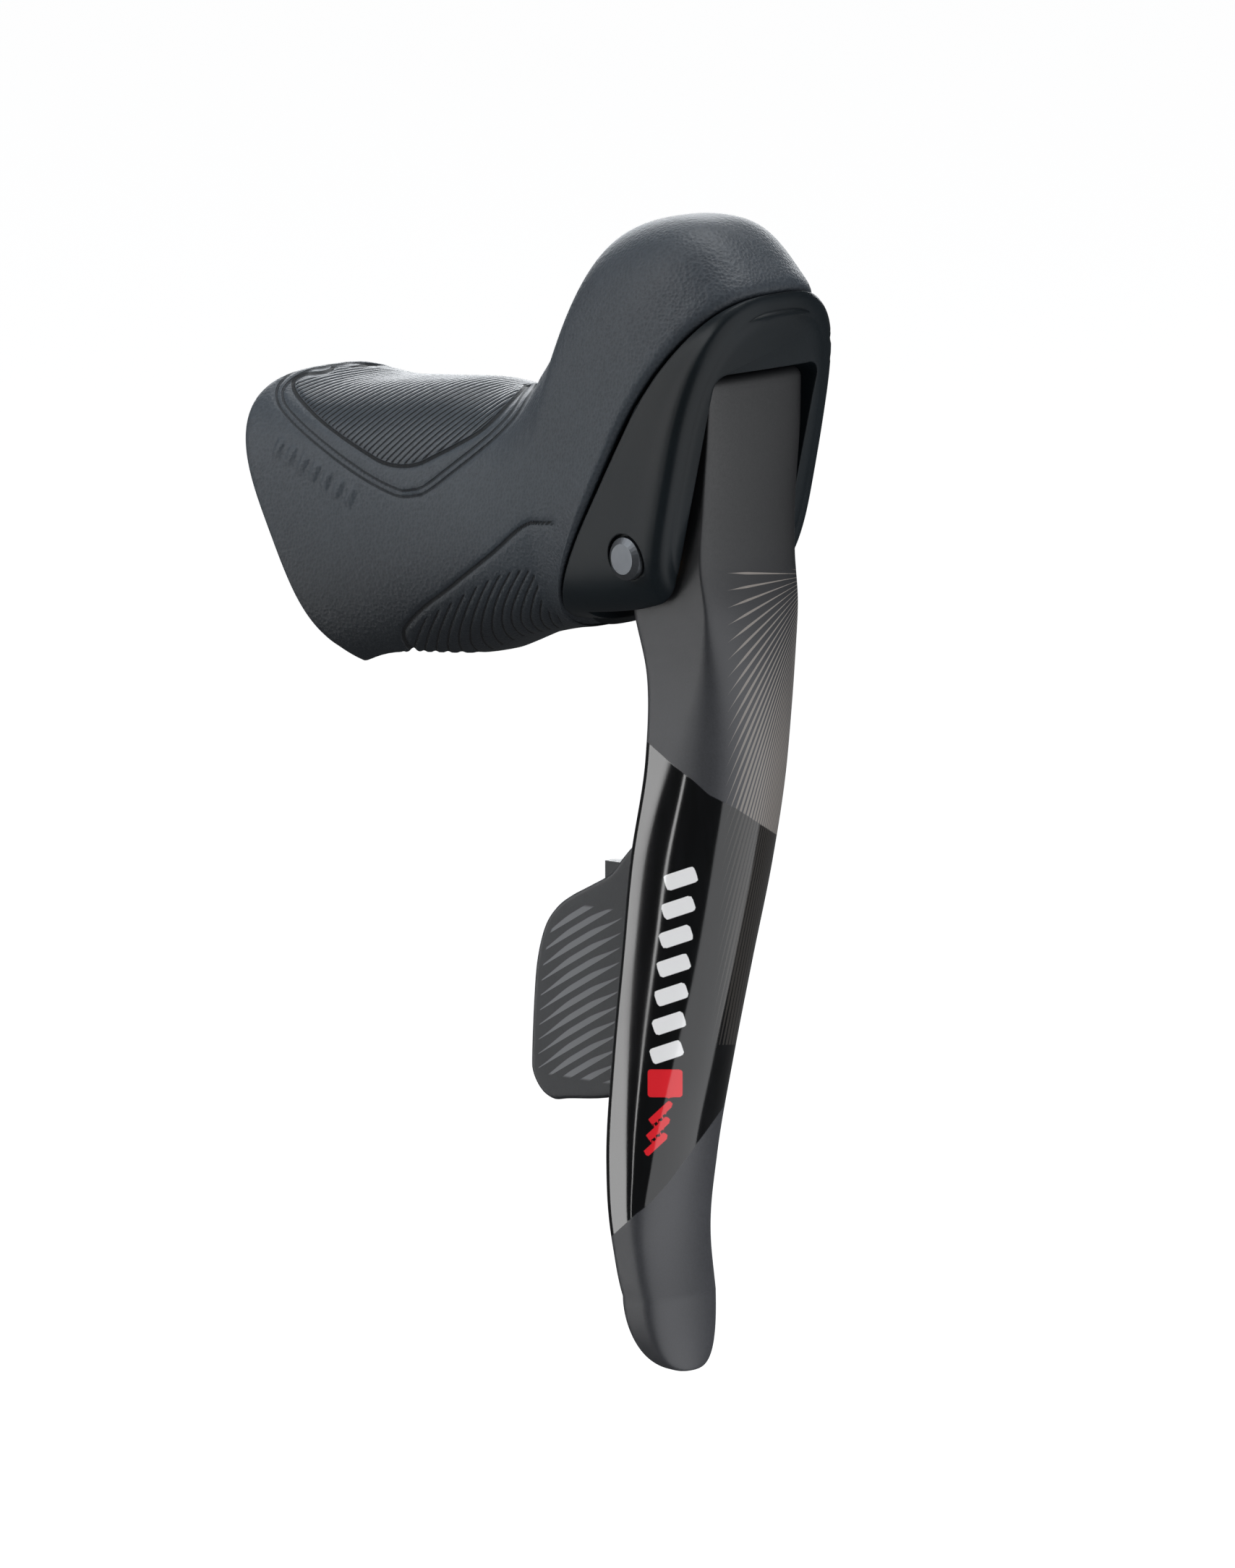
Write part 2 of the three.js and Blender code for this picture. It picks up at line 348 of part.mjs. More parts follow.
// ---------------------------------------------------------------- brake lever
function bladeSection(xr, xs, xf, hw, yc, z, k = 1, half = 6) {
  const rr = Math.min(1.6, hw * 0.3), pts = [];
  for (let i = 0; i <= 2; i++) { const a = i * Math.PI / 4; pts.push([xr + rr - rr * Math.cos(a), -(hw - rr) - rr * Math.sin(a)]); }
  for (let i = 1; i <= 2; i++) pts.push([xr + rr + (xs - xr - rr) * i / 2, -hw]);
  for (let i = 1; i < 2 * half; i++) { const a = -Math.PI / 2 + i * Math.PI / (2 * half); pts.push([xs + (xf - xs) * Math.pow(Math.max(Math.cos(a), 0), 0.75), hw * Math.sin(a)]); }
  for (let i = 2; i >= 1; i--) pts.push([xr + rr + (xs - xr - rr) * i / 2, hw]);
  for (let i = 2; i >= 0; i--) { const a = i * Math.PI / 4; pts.push([xr + rr - rr * Math.cos(a), (hw - rr) + rr * Math.sin(a)]); }
  const cx = (xr + xf) / 2;
  return pts.map(([x, y]) => [cx + (x - cx) * k, yc + y * k, z]);
}
const bladeAt = (v, k = 1, dz = 0) => { const [z, xr, xs, xf, hw, yc] = BF.map((f) => f(v)); return bladeSection(xr, xs, xf, hw, yc, z + dz, k); };
const bladeRings = [bladeAt(0, 0.86, 0.9), bladeAt(0, 0.95, 0.5), bladeAt(0.004, 1, 0)];
for (let i = 1; i <= 25; i++) bladeRings.push(bladeAt(0.004 + 0.996 * i / 25));
bladeRings.push(bladeAt(1, 0.93, -0.7), bladeAt(1, 0.78, -1.5), bladeAt(1, 0.55, -2.1), bladeAt(1, 0.25, -2.45));
let blade = skin(bladeRings);
// paddle hinge ears on the back of the blade
const AX1 = [-6.6, 0.5, -37.0], AX2 = [-9.4, 0.5, -57.5], AXD = dirOf(AX1, AX2), AXL = lenOf(AX1, AX2);
const axPt = (t) => V(AX1).add(V(AXD).normalize().multiplyScalar(t)).toArray();
const ear = (t0, t1) => {
  const q = V(axPt((t0 + t1) / 2));
  return add(solid(rod(2.3, t1 - t0, axPt(t0), AXD, 16)), boxG(7.5, 4.6, t1 - t0, [q.x + 3.75, q.y, q.z - 0.0], AXD.map((c) => c), 0));
};
blade = add(blade, ear(-3.6, -0.6), ear(AXL + 0.9, AXL + 3.9));
blade = sub(blade,
  boxMM([-14, -6.3, -7], [6.0, 6.3, 17.5]),
  rod(4.05, 24, [0, -12, 0], [0, 1, 0], 24),
  rod(2.1, 17.6, [1.5, -8.8, 13.0], [0, 1, 0], 14),
  rod(2.05, 9, [-4.5, 0, 20.6], [1, 0, 0], 14),
  rod(1.0, AXL + 12, axPt(-6), AXD, 12),
);
part('brake_lever', blade, CARBON);
class Helix extends THREE.Curve {
  constructor(r, y0, y1, turns, at, dir) { super(); this.r = r; this.y0 = y0; this.y1 = y1; this.n = turns; this.q = new THREE.Quaternion().setFromUnitVectors(new THREE.Vector3(0, 0, 1), V(dir).normalize()); this.at = V(at); }
  getPoint(t, out = new THREE.Vector3()) {
    const a = t * this.n * 2 * Math.PI;
    return out.set(this.r * Math.cos(a), this.r * Math.sin(a), this.y0 + (this.y1 - this.y0) * t).applyQuaternion(this.q).add(this.at);
  }
}
function coil(r, wire, y0, y1, turns, at, dir, steps) {
  const sh = new THREE.Shape();
  sh.absarc(0, 0, wire, 0, 2 * Math.PI, false);
  return new THREE.ExtrudeGeometry(sh, { steps, extrudePath: new Helix(r, y0, y1, turns, at, dir), bevelEnabled: false, curveSegments: 3 });
}
part('lever_return_spring', coil(4.5, 0.5, -5.2, 5.2, 5.25, [0, 0, 0], [0, 1, 0], 63), STEEL);
part('rest_bumper', turn([[0, 0], [2.4, 0], [2.4, 1.9], [2.0, 2.5], [0, 2.5]], [SLOT_BACK - 2.1, 0, 20.6], [1, 0, 0], 16), SOFT);
part('reach_adjust_screw', turn([[0, 0], [1.4, 0], [1.9, 0.5], [1.9, 14.6], [1.5, 15.0], [0, 15.0]], [-11.7, 0, 20.6], [1, 0, 0], 16), BLACKSTEEL);
part('cable_anchor', sub(solid(turn([[0, 0], [1.95, 0], [1.95, 2.6], [3.4, 2.6], [3.4, 14.6], [1.95, 14.6], [1.95, 17.2], [0, 17.2]], [1.5, -8.6, 13.0], [0, 1, 0], 20)),
  rod(1.0, 12, [-5, -1.5, 13.0], [1, 0, 0], 12), rod(2.2, 5, [2.6, -1.5, 13.0], [1, 0, 0], 14)), STEEL);

// ---------------------------------------------------------------- shift paddle
const PLATE_Y = -4.5, PLATE_SLOPE = 0.18, PLATE_T = 2.0;
const outline = [[-7.6, -43.0], [-9.5, -44.4], [-11.5, -46.6], [-13.5, -49.0], [-17.0, -51.1], [-20.4, -53.0], [-23.0, -55.0],
  [-25.1, -58.0], [-26.5, -62.9], [-27.1, -68.7], [-27.5, -77.1], [-27.3, -79.9], [-25.8, -82.3], [-23.7, -83.4], [-21.4, -83.1],
  [-12.1, -81.2], [-10.9, -75.0], [-8.9, -60.0]];
const ps = new THREE.Shape(outline.map(([x, z]) => new THREE.Vector2(x, z)));
const plateG = new THREE.ExtrudeGeometry(ps, { depth: PLATE_T - 0.8, bevelEnabled: true, bevelThickness: 0.4, bevelSize: 0.4, bevelOffset: -0.4, bevelSegments: 1, curveSegments: 2 });
// shape X,Y -> object X,Z ; depth -> object Y, leaning outwards to the rear
plateG.applyMatrix4(new THREE.Matrix4().set(1, 0, 0, 0, PLATE_SLOPE, 0, 1, PLATE_Y + 0.4 + PLATE_SLOPE * 9, 0, 1, 0, 0, 0, 0, 0, 1));
const BARREL_L = 15.0;
const webRing = (z) => {
  const ax = AX1[0] + (z - AX1[2]) * (AX2[0] - AX1[0]) / (AX2[2] - AX1[2]), py = (x) => PLATE_Y + PLATE_SLOPE * (x + 9);
  return [[ax + 1.2, -1.3, z], [ax - 1.0, py(ax - 1.0) + 0.3, z], [-14.5, py(-14.5) + 0.3, z], [-14.5, py(-14.5) + 1.7, z], [ax - 1.6, 1.9, z]];
};
let paddle = solid(plateG);
paddle = add(paddle, rod(2.3, BARREL_L, axPt(0), AXD, 20), skin([webRing(-47.2), webRing(-51.4)]));
paddle = sub(paddle, rod(1.02, AXL + 12, axPt(-6), AXD, 12));
part('shift_paddle', paddle, PADDLE);
part('paddle_pivot_pin', turn([[0, 0], [1.7, 0], [1.7, 0.7], [0.94, 0.7], [0.94, AXL + 9.8], [0, AXL + 9.8]], axPt(-5.4), AXD, 12), STEEL);
part('paddle_return_spring', coil(1.62, 0.3, 0.6, AXL - BARREL_L - 0.1, 4.25, axPt(BARREL_L), AXD, 38), STEEL);
part('paddle_switch', sub(solid(boxMM([-16.2, 0.8, -71.2], [-9.1, 5.0, -64.2])), rod(1.15, 3.2, [-14.2, 0.5, -67.6], [0, 1, 0], 12)), POLYMER);
part('switch_plunger', turn([[0, 0], [0.8, 0], [1.0, 0.2], [1.0, 5.4], [0, 5.4]], [-14.2, -2.85, -67.6], [0, 1, 0], 12), LENS);

export default group;
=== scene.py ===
import math
import bpy
import numpy as np
from mathutils import Vector, Matrix


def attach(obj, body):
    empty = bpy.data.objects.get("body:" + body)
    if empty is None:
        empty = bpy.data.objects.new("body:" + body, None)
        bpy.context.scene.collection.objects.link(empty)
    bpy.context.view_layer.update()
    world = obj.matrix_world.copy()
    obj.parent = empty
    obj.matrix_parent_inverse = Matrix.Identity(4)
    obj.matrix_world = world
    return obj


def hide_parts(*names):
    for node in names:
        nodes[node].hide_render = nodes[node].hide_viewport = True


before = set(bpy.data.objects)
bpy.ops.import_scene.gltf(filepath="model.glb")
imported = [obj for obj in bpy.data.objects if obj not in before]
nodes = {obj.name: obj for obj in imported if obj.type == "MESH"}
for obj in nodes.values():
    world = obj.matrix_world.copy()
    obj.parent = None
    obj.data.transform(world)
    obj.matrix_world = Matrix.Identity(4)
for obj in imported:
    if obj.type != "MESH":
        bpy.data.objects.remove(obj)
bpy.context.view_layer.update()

MM = 0.001
PIV = np.array([63.0, 0.0, 1.6])
scene = bpy.context.scene

# ------------------------------------------------------------------ camera and view plane
AZ, EL = math.radians(47.0), math.radians(11.0)
R_AX = np.array([math.cos(AZ), math.sin(AZ), 0.0])
D_AX = np.array([math.sin(AZ) * math.cos(EL), -math.cos(AZ) * math.cos(EL), math.sin(EL)])
U_AX = np.cross(D_AX, R_AX)
TARGET = PIV + np.array([0.0, -15.0, 0.0]) + R_AX * -0.93 + U_AX * -32.06
DIST = 3000.0
cam_data = bpy.data.cameras.new("camera")
cam = bpy.data.objects.new("camera", cam_data)
scene.collection.objects.link(cam)
cam_data.sensor_width = 36.0
cam_data.sensor_fit = "AUTO"
cam_data.lens = 36.0 * DIST * MM / 0.2235
cam_data.clip_end = 60.0
cam.matrix_world = Matrix((
    (R_AX[0], U_AX[0], D_AX[0], (TARGET[0] + D_AX[0] * DIST) * MM),
    (R_AX[1], U_AX[1], D_AX[1], (TARGET[1] + D_AX[1] * DIST) * MM),
    (R_AX[2], U_AX[2], D_AX[2], (TARGET[2] + D_AX[2] * DIST) * MM),
    (0, 0, 0, 1)))
scene.camera = cam


# side-plane coordinates in mm of points given from the pivot, mirrored to the outer side if wanted
def plane(p, mirror=True):
    q = np.array(p, float)
    if mirror:
        q[:, 1] = -np.abs(q[:, 1])
    q[:, 1] += 15.0
    return np.stack([q @ R_AX, q @ U_AX], 1)


# ------------------------------------------------------------------ station tables, as in the CAD
HOOD = [
    [0.00, -57.05, -22.90, -79.98, 16.48, 19.5, .50, 3.2, 3.4, 3.0, 0.0],
    [0.10, -55.04, -24.63, -69.93, 15.89, 19.0, .50, 3.1, 3.2, 2.0, 0.0],
    [0.22, -49.01, -23.59, -58.88, 16.99, 18.0, .48, 2.8, 2.8, 1.0, 0.0],
    [0.36, -40.81, -20.70, -46.62, 18.47, 16.8, .46, 2.5, 2.4, 0.0, 0.0],
    [0.50, -32.33, -17.25, -34.99, 19.11, 16.0, .45, 2.3, 2.2, 0.0, 0.0],
    [0.60, -28.04, -15.98, -26.91, 22.27, 15.6, .46, 2.3, 2.2, 0.0, 0.0],
    [0.70, -24.16, -15.03, -18.55, 32.60, 15.4, .44, 2.3, 2.2, 0.0, 0.0],
    [0.80, -21.16, -14.45, -11.44, 44.80, 15.4, .42, 2.5, 2.3, 0.0, 0.0],
    [0.90, -19.35, -14.00, 3.20, 48.40, 15.6, .40, 2.8, 2.5, 0.0, 1.5],
    [1.00, -19.79, -14.07, 12.00, 42.00, 15.8, .40, 3.0, 2.6, 0.0, 4.5],
]
BLADE = [
    [0.00, 24.8, -2.06, 11.20, 11.90, 9.01, 0.0],
    [0.06, 18.0, -3.11, 10.80, 11.80, 9.16, 0.0],
    [0.13, 8.0, -4.73, 9.80, 11.00, 9.19, 0.0],
    [0.19, 0.0, -5.66, 9.47, 10.66, 9.41, 0.0],
    [0.26, -8.5, -5.26, 10.19, 12.21, 9.13, 0.0],
    [0.33, -18.0, -2.69, 7.87, 13.65, 8.95, 0.0],
    [0.41, -30.0, -2.43, 2.61, 13.81, 9.35, -0.1],
    [0.51, -45.0, -4.85, -2.43, 11.24, 9.83, -0.3],
    [0.61, -60.0, -7.05, -4.88, 7.71, 9.23, -0.7],
    [0.71, -75.0, -9.02, -5.54, 3.87, 8.72, -1.2],
    [0.81, -90.0, -10.33, -5.49, 0.26, 8.07, -1.7],
    [0.90, -102.0, -9.34, -4.74, -1.19, 7.52, -2.0],
    [0.96, -111.0, -6.99, -2.31, 0.87, 6.72, -2.2],
    [1.00, -116.5, -5.14, 0.96, 3.15, 4.42, -2.2],
]


def herm(table, col):
    u = [r[0] for r in table]
    v = [r[col] for r in table]
    n = len(u)
    h = [u[i + 1] - u[i] for i in range(n - 1)]
    d = [(v[i + 1] - v[i]) / h[i] for i in range(n - 1)]
    m = [0.0] * n
    m[0], m[-1] = d[0], d[-1]
    for i in range(1, n - 1):
        m[i] = (d[i - 1] * h[i] + d[i] * h[i - 1]) / (h[i] + h[i - 1])

    def f(x):
        i = 0
        while i < n - 2 and x > u[i + 1]:
            i += 1
        t = (x - u[i]) / h[i]
        q = 1 - t
        return (1 + 2 * t) * q * q * v[i] + t * q * q * h[i] * m[i] + t * t * (3 - 2 * t) * v[i + 1] + t * t * (t - 1) * h[i] * m[i + 1]
    return f


HF = [herm(HOOD, k) for k in range(1, 11)]
BF = [herm(BLADE, k) for k in range(1, 7)]


def ring(bx, bz, tx, tz, w, p, nT, nB, off, fw, n):
    L = math.hypot(tx - bx, tz - bz)
    dx, dz = (tx - bx) / L, (tz - bz) / L
    phi = -math.pi + np.arange(n) * 2 * math.pi / n
    s, c = np.sin(phi), np.cos(phi)
    ex = np.where(s > 0, 2.0 / nT, 2.0 / nB)
    a_s, a_c = np.abs(s), np.abs(c)
    a_s[a_s < 1e-9] = 0
    a_c[a_c < 1e-9] = 0
    al = np.where(s > 0, p + (1 - p) * a_s ** ex, p - p * a_s ** ex) * L
    y = -np.sign(c) * w * a_c ** ex
    k = np.clip((al / L - 0.55) / 0.45, 0, 1)
    o = -off * (y / w) ** 2 + fw * k * k
    return np.stack([bx + dx * al + dz * o, y, bz + dz * al - dx * o], 1)


# even spacing round a section, so that ribs and grooves get the same density everywhere
def respace(r, n):
    q = np.vstack([r, r[:1]])
    s = np.concatenate([[0], np.cumsum(np.linalg.norm(np.diff(q, axis=0), axis=1))])
    t = np.arange(n) * s[-1] / n
    return np.stack([np.interp(t, s, q[:, k]) for k in range(3)], 1)


def hood_ring(u, inset, n, lift=0.0):
    bx, bz, tx, tz, w, p, nT, nB, off, fw = [f(u) for f in HF]
    L = math.hypot(tx - bx, tz - bz)
    dx, dz = (tx - bx) / L, (tz - bz) / L
    r = ring(bx + dx * inset, bz + dz * inset, tx - dx * inset, tz - dz * inset, w - inset, p, nT, nB, off, fw, 1440)
    return respace(r, n)


# ------------------------------------------------------------------ mesh helpers
def make(name, verts, faces, angle=40.0):
    me = bpy.data.meshes.new(name)
    me.from_pydata((np.asarray(verts, float) + PIV) * MM, [], faces)
    me.validate()
    ob = bpy.data.objects.new(name, me)
    scene.collection.objects.link(ob)
    bpy.context.view_layer.update()
    return ob


def volume(verts, faces):
    v = 0.0
    V = np.asarray(verts, float)
    for f in faces:
        a = V[f[0]]
        for i in range(1, len(f) - 1):
            v += float(np.dot(a, np.cross(V[f[i]], V[f[i + 1]])))
    return v


def skin(rings, closed=False):
    n = len(rings[0])
    verts = np.vstack(rings)
    m = len(rings)
    faces = []
    last = m if closed else m - 1
    j = np.arange(n)
    j2 = (j + 1) % n
    for i in range(last):
        a = i * n
        c = ((i + 1) % m) * n
        faces += np.stack([a + j, c + j, c + j2, a + j2], 1).tolist()
    if not closed:
        faces.append(list(range(n)))
        faces.append(list(range((m - 1) * n, m * n))[::-1])
    if volume(verts, faces[:: max(1, len(faces) // 4000)] if closed else faces) < 0:
        faces = [f[::-1] for f in faces]
    return verts, faces


def basis(d):
    d = np.array(d, float)
    d /= np.linalg.norm(d)
    h = np.array([0, 0, 1.0]) if abs(d[2]) < 0.9 else np.array([1.0, 0, 0])
    a = np.cross(h, d)
    a /= np.linalg.norm(a)
    return a, np.cross(d, a), d


def turned(profile, at, d, seg=48):
    a, b, d = basis(d)
    at = np.array(at, float)
    t = np.arange(seg) * 2 * math.pi / seg
    rings = [at + d * z + r * (np.outer(np.cos(t), a) + np.outer(np.sin(t), b)) for r, z in profile]
    return skin(rings)


def rod(r, h, at, d, seg=48):
    return turned([(r, 0), (r, h)], at, d, seg)


def box(lo, hi):
    x0, y0, z0 = lo
    x1, y1, z1 = hi
    r = [np.array([[x0, y0, z], [x1, y0, z], [x1, y1, z], [x0, y1, z]], float) for z in (z0, z1)]
    return skin(r)


def boolean(ob, tool, op="DIFFERENCE"):
    t = make("tool", *tool) if isinstance(tool, tuple) else tool
    before = len(ob.data.vertices)
    for solver in ("MANIFOLD", "EXACT"):
        m = ob.modifiers.new("cut", "BOOLEAN")
        m.operation = op
        m.solver = solver
        m.object = t
        dg = bpy.context.evaluated_depsgraph_get()
        dg.update()
        me = bpy.data.meshes.new_from_object(ob.evaluated_get(dg), depsgraph=dg)
        ob.modifiers.clear()
        if len(me.vertices) and len(me.vertices) != before:
            old = ob.data
            ob.data = me
            bpy.data.meshes.remove(old)
            break
        bpy.data.meshes.remove(me)
        print("boolean left unchanged by", solver, ob.name)
    td = t.data
    bpy.data.objects.remove(t)
    bpy.data.meshes.remove(td)
    return ob


def smooth(ob, deg=35.0):
    me = ob.data
    me.validate()
    me.shade_smooth()
    if deg < 179:
        me.set_sharp_from_angle(angle=math.radians(deg))


def coords(ob):
    co = np.zeros(len(ob.data.vertices) * 3)
    ob.data.vertices.foreach_get("co", co)
    return co.reshape(-1, 3) / MM - PIV


def put(ob, name, values):
    a = ob.data.attributes.get(name) or ob.data.attributes.new(name, "FLOAT", "POINT")
    a.data.foreach_set("value", np.asarray(values, np.float32))


def line_dist(P, L, closed=False):
    L = np.asarray(L, float)
    if closed:
        L = np.vstack([L, L[:1]])
    best = np.full(len(P), 1e9)
    for a, b in zip(L[:-1], L[1:]):
        d = b - a
        t = np.clip(((P - a) @ d) / (d @ d), 0, 1)
        best = np.minimum(best, np.hypot(*(P - a - np.outer(t, d)).T))
    return best


def curve(L, n=8, closed=False):
    L = np.asarray(L, float)
    m = len(L)
    out = []
    for i in range(m if closed else m - 1):
        g = (lambda k: L[k % m]) if closed else (lambda k: L[min(max(k, 0), m - 1)])
        p0, p1, p2, p3 = g(i - 1), g(i), g(i + 1), g(i + 2)
        for t in np.arange(n) / n:
            out.append(0.5 * (2 * p1 + (p2 - p0) * t + (2 * p0 - 5 * p1 + 4 * p2 - p3) * t * t + (3 * p1 - p0 - 3 * p2 + p3) * t ** 3))
    if not closed:
        out.append(L[-1])
    return np.array(out)


def poly_sdf(P, L):
    d = line_dist(P, L, True)
    inside = np.zeros(len(P), bool)
    m = len(L)
    for i in range(m):
        (x0, y0), (x1, y1) = L[i], L[(i + 1) % m]
        if y0 == y1:
            continue
        c = ((P[:, 1] < y0) != (P[:, 1] < y1)) & (P[:, 0] < (x1 - x0) * (P[:, 1] - y0) / (y1 - y0) + x0)
        inside ^= c
    return np.where(inside, -d, d)


def bar_sdf(P, c, ang, hl, hw, r=0.25):
    ca, sa = math.cos(ang), math.sin(ang)
    x = (P[:, 0] - c[0]) * ca + (P[:, 1] - c[1]) * sa
    y = -(P[:, 0] - c[0]) * sa + (P[:, 1] - c[1]) * ca
    qx, qy = np.abs(x) - hl + r, np.abs(y) - hw + r
    return np.hypot(np.maximum(qx, 0), np.maximum(qy, 0)) + np.minimum(np.maximum(qx, qy), 0) - r


# ------------------------------------------------------------------ material helpers
class Mat:
    def __init__(self, name, color, rough, metal=0.0, spec=0.5, coat=0.0, coat_rough=0.1, sheen=0.0):
        self.m = bpy.data.materials.new(name)
        self.m.use_nodes = True
        self.t = self.m.node_tree
        self.t.nodes.clear()
        self.out = self.n("ShaderNodeOutputMaterial")
        self.b = self.n("ShaderNodeBsdfPrincipled")
        self.t.links.new(self.b.outputs["BSDF"], self.out.inputs["Surface"])
        self.b.inputs["Base Color"].default_value = (*color, 1)
        self.b.inputs["Roughness"].default_value = rough
        self.b.inputs["Metallic"].default_value = metal
        self.b.inputs["Specular IOR Level"].default_value = spec
        self.b.inputs["Coat Weight"].default_value = coat
        self.b.inputs["Coat Roughness"].default_value = coat_rough
        if sheen:
            self.b.inputs["Sheen Weight"].default_value = sheen
            self.b.inputs["Sheen Roughness"].default_value = 0.4
        self.co = self.n("ShaderNodeTexCoord").outputs["Object"]
        self.height = None

    def n(self, kind, **kw):
        x = self.t.nodes.new(kind)
        for k, v in kw.items():
            setattr(x, k, v)
        return x

    def link(self, src, dst):
        if hasattr(src, "links") or hasattr(src, "node"):
            self.t.links.new(src, dst)
        else:
            dst.default_value = src

    def math(self, op, a, b=0.0, c=None, clamp=False):
        x = self.n("ShaderNodeMath", operation=op, use_clamp=clamp)
        self.link(a, x.inputs[0])
        self.link(b, x.inputs[1])
        if c is not None:
            self.link(c, x.inputs[2])
        return x.outputs[0]

    def attr(self, name):
        return self.n("ShaderNodeAttribute", attribute_type="GEOMETRY", attribute_name=name).outputs["Fac"]

    def step(self, v, lo, hi, a=0.0, b=1.0):
        x = self.n("ShaderNodeMapRange", interpolation_type="SMOOTHSTEP")
        self.link(v, x.inputs["Value"])
        for k, q in (("From Min", lo), ("From Max", hi), ("To Min", a), ("To Max", b)):
            x.inputs[k].default_value = q
        return x.outputs["Result"]

    def lin(self, v, lo, hi, a=0.0, b=1.0):
        x = self.n("ShaderNodeMapRange")
        self.link(v, x.inputs["Value"])
        for k, q in (("From Min", lo), ("From Max", hi), ("To Min", a), ("To Max", b)):
            x.inputs[k].default_value = q
        return x.outputs["Result"]

    def noise(self, per_mm, detail=3.0, rough=0.55, vec=None, lac=2.0):
        x = self.n("ShaderNodeTexNoise")
        self.t.links.new(vec or self.co, x.inputs["Vector"])
        x.inputs["Scale"].default_value = per_mm * 1000.0
        x.inputs["Detail"].default_value = detail
        x.inputs["Roughness"].default_value = rough
        return x.outputs["Fac"]

    def cells(self, per_mm, feature="F1", vec=None):
        x = self.n("ShaderNodeTexVoronoi", feature=feature)
        self.t.links.new(vec or self.co, x.inputs["Vector"])
        x.inputs["Scale"].default_value = per_mm * 1000.0
        return x.outputs["Distance"]

    def scaled(self, s, rot=None):
        x = self.n("ShaderNodeMapping")
        self.t.links.new(self.co, x.inputs["Vector"])
        x.inputs["Scale"].default_value = s
        if rot:
            x.inputs["Rotation"].default_value = rot
        return x.outputs["Vector"]

    def mix(self, f, a, b):
        x = self.n("ShaderNodeMix", data_type="RGBA")
        self.link(f, x.inputs["Factor"])
        for v, s in ((a, x.inputs[6]), (b, x.inputs[7])):
            if isinstance(v, (tuple, list)):
                s.default_value = (*v, 1) if len(v) == 3 else v
            else:
                self.t.links.new(v, s)
        return x.outputs[2]

    def mixf(self, f, a, b):
        x = self.n("ShaderNodeMix", data_type="FLOAT")
        self.link(f, x.inputs["Factor"])
        self.link(a, x.inputs[2])
        self.link(b, x.inputs[3])
        return x.outputs[0]

    def color(self, v):
        self.t.links.new(v, self.b.inputs["Base Color"])

    def rough(self, v):
        self.t.links.new(v, self.b.inputs["Roughness"])

    def bump(self, h, dist_mm, strength=1.0, prev=None, edge_mm=0.0):
        x = self.n("ShaderNodeBump")
        x.inputs["Strength"].default_value = strength
        x.inputs["Distance"].default_value = dist_mm * MM
        self.t.links.new(h, x.inputs["Height"])
        if prev is not None:
            self.t.links.new(prev, x.inputs["Normal"])
        elif edge_mm:
            e = self.n("ShaderNodeBevel", samples=4)
            e.inputs["Radius"].default_value = edge_mm * MM
            self.t.links.new(e.outputs["Normal"], x.inputs["Normal"])
        self.t.links.new(x.outputs["Normal"], self.b.inputs["Normal"])
        return x.outputs["Normal"]


def srgb(h):
    h = h.lstrip("#")
    out = []
    for i in (0, 2, 4):
        c = int(h[i:i + 2], 16) / 255.0
        out.append(c / 12.92 if c <= 0.04045 else ((c + 0.055) / 1.055) ** 2.4)
    return tuple(out)


# moulded plastic or rubber: fine pebble, slow colour drift, rounded edges in the shading normal
def moulded(name, c1, c2, r0, r1, grain=2.2, depth=0.03, spec=0.5, edge=0.12, coat=0.0):
    m = Mat(name, c1, r0, spec=spec, coat=coat)
    big = m.noise(0.05, 4)
    fine = m.noise(grain, 3)
    pits = m.cells(grain * 1.3)
    m.color(m.mix(m.lin(m.math("ADD", m.math("MULTIPLY", big, 0.7), m.math("MULTIPLY", fine, 0.3)), 0.35, 0.65), c1, c2))
    m.rough(m.lin(m.math("ADD", m.math("MULTIPLY", big, 0.5), m.math("MULTIPLY", fine, 0.5)), 0.3, 0.7, r0, r1))
    m.bump(m.math("ADD", m.math("MULTIPLY", fine, 0.6), m.math("MULTIPLY", pits, 0.4)), depth, 0.6, edge_mm=edge)
    return m


def metal(name, c1, c2, r0, r1, turned_about=None, depth=0.006, edge=0.06):
    m = Mat(name, c1, r0, metal=1.0)
    v = m.scaled((1, 14, 1)) if turned_about == "y" else m.scaled((1, 1, 14)) if turned_about == "z" else m.co
    fine = m.noise(0.9, 4, 0.7, vec=v)
    big = m.noise(0.12, 3)
    m.color(m.mix(m.lin(big, 0.35, 0.65), c1, c2))
    m.rough(m.lin(m.math("ADD", m.math("MULTIPLY", fine, 0.6), m.math("MULTIPLY", big, 0.4)), 0.3, 0.7, r0, r1))
    m.bump(fine, depth, 0.5, edge_mm=edge)
    return m


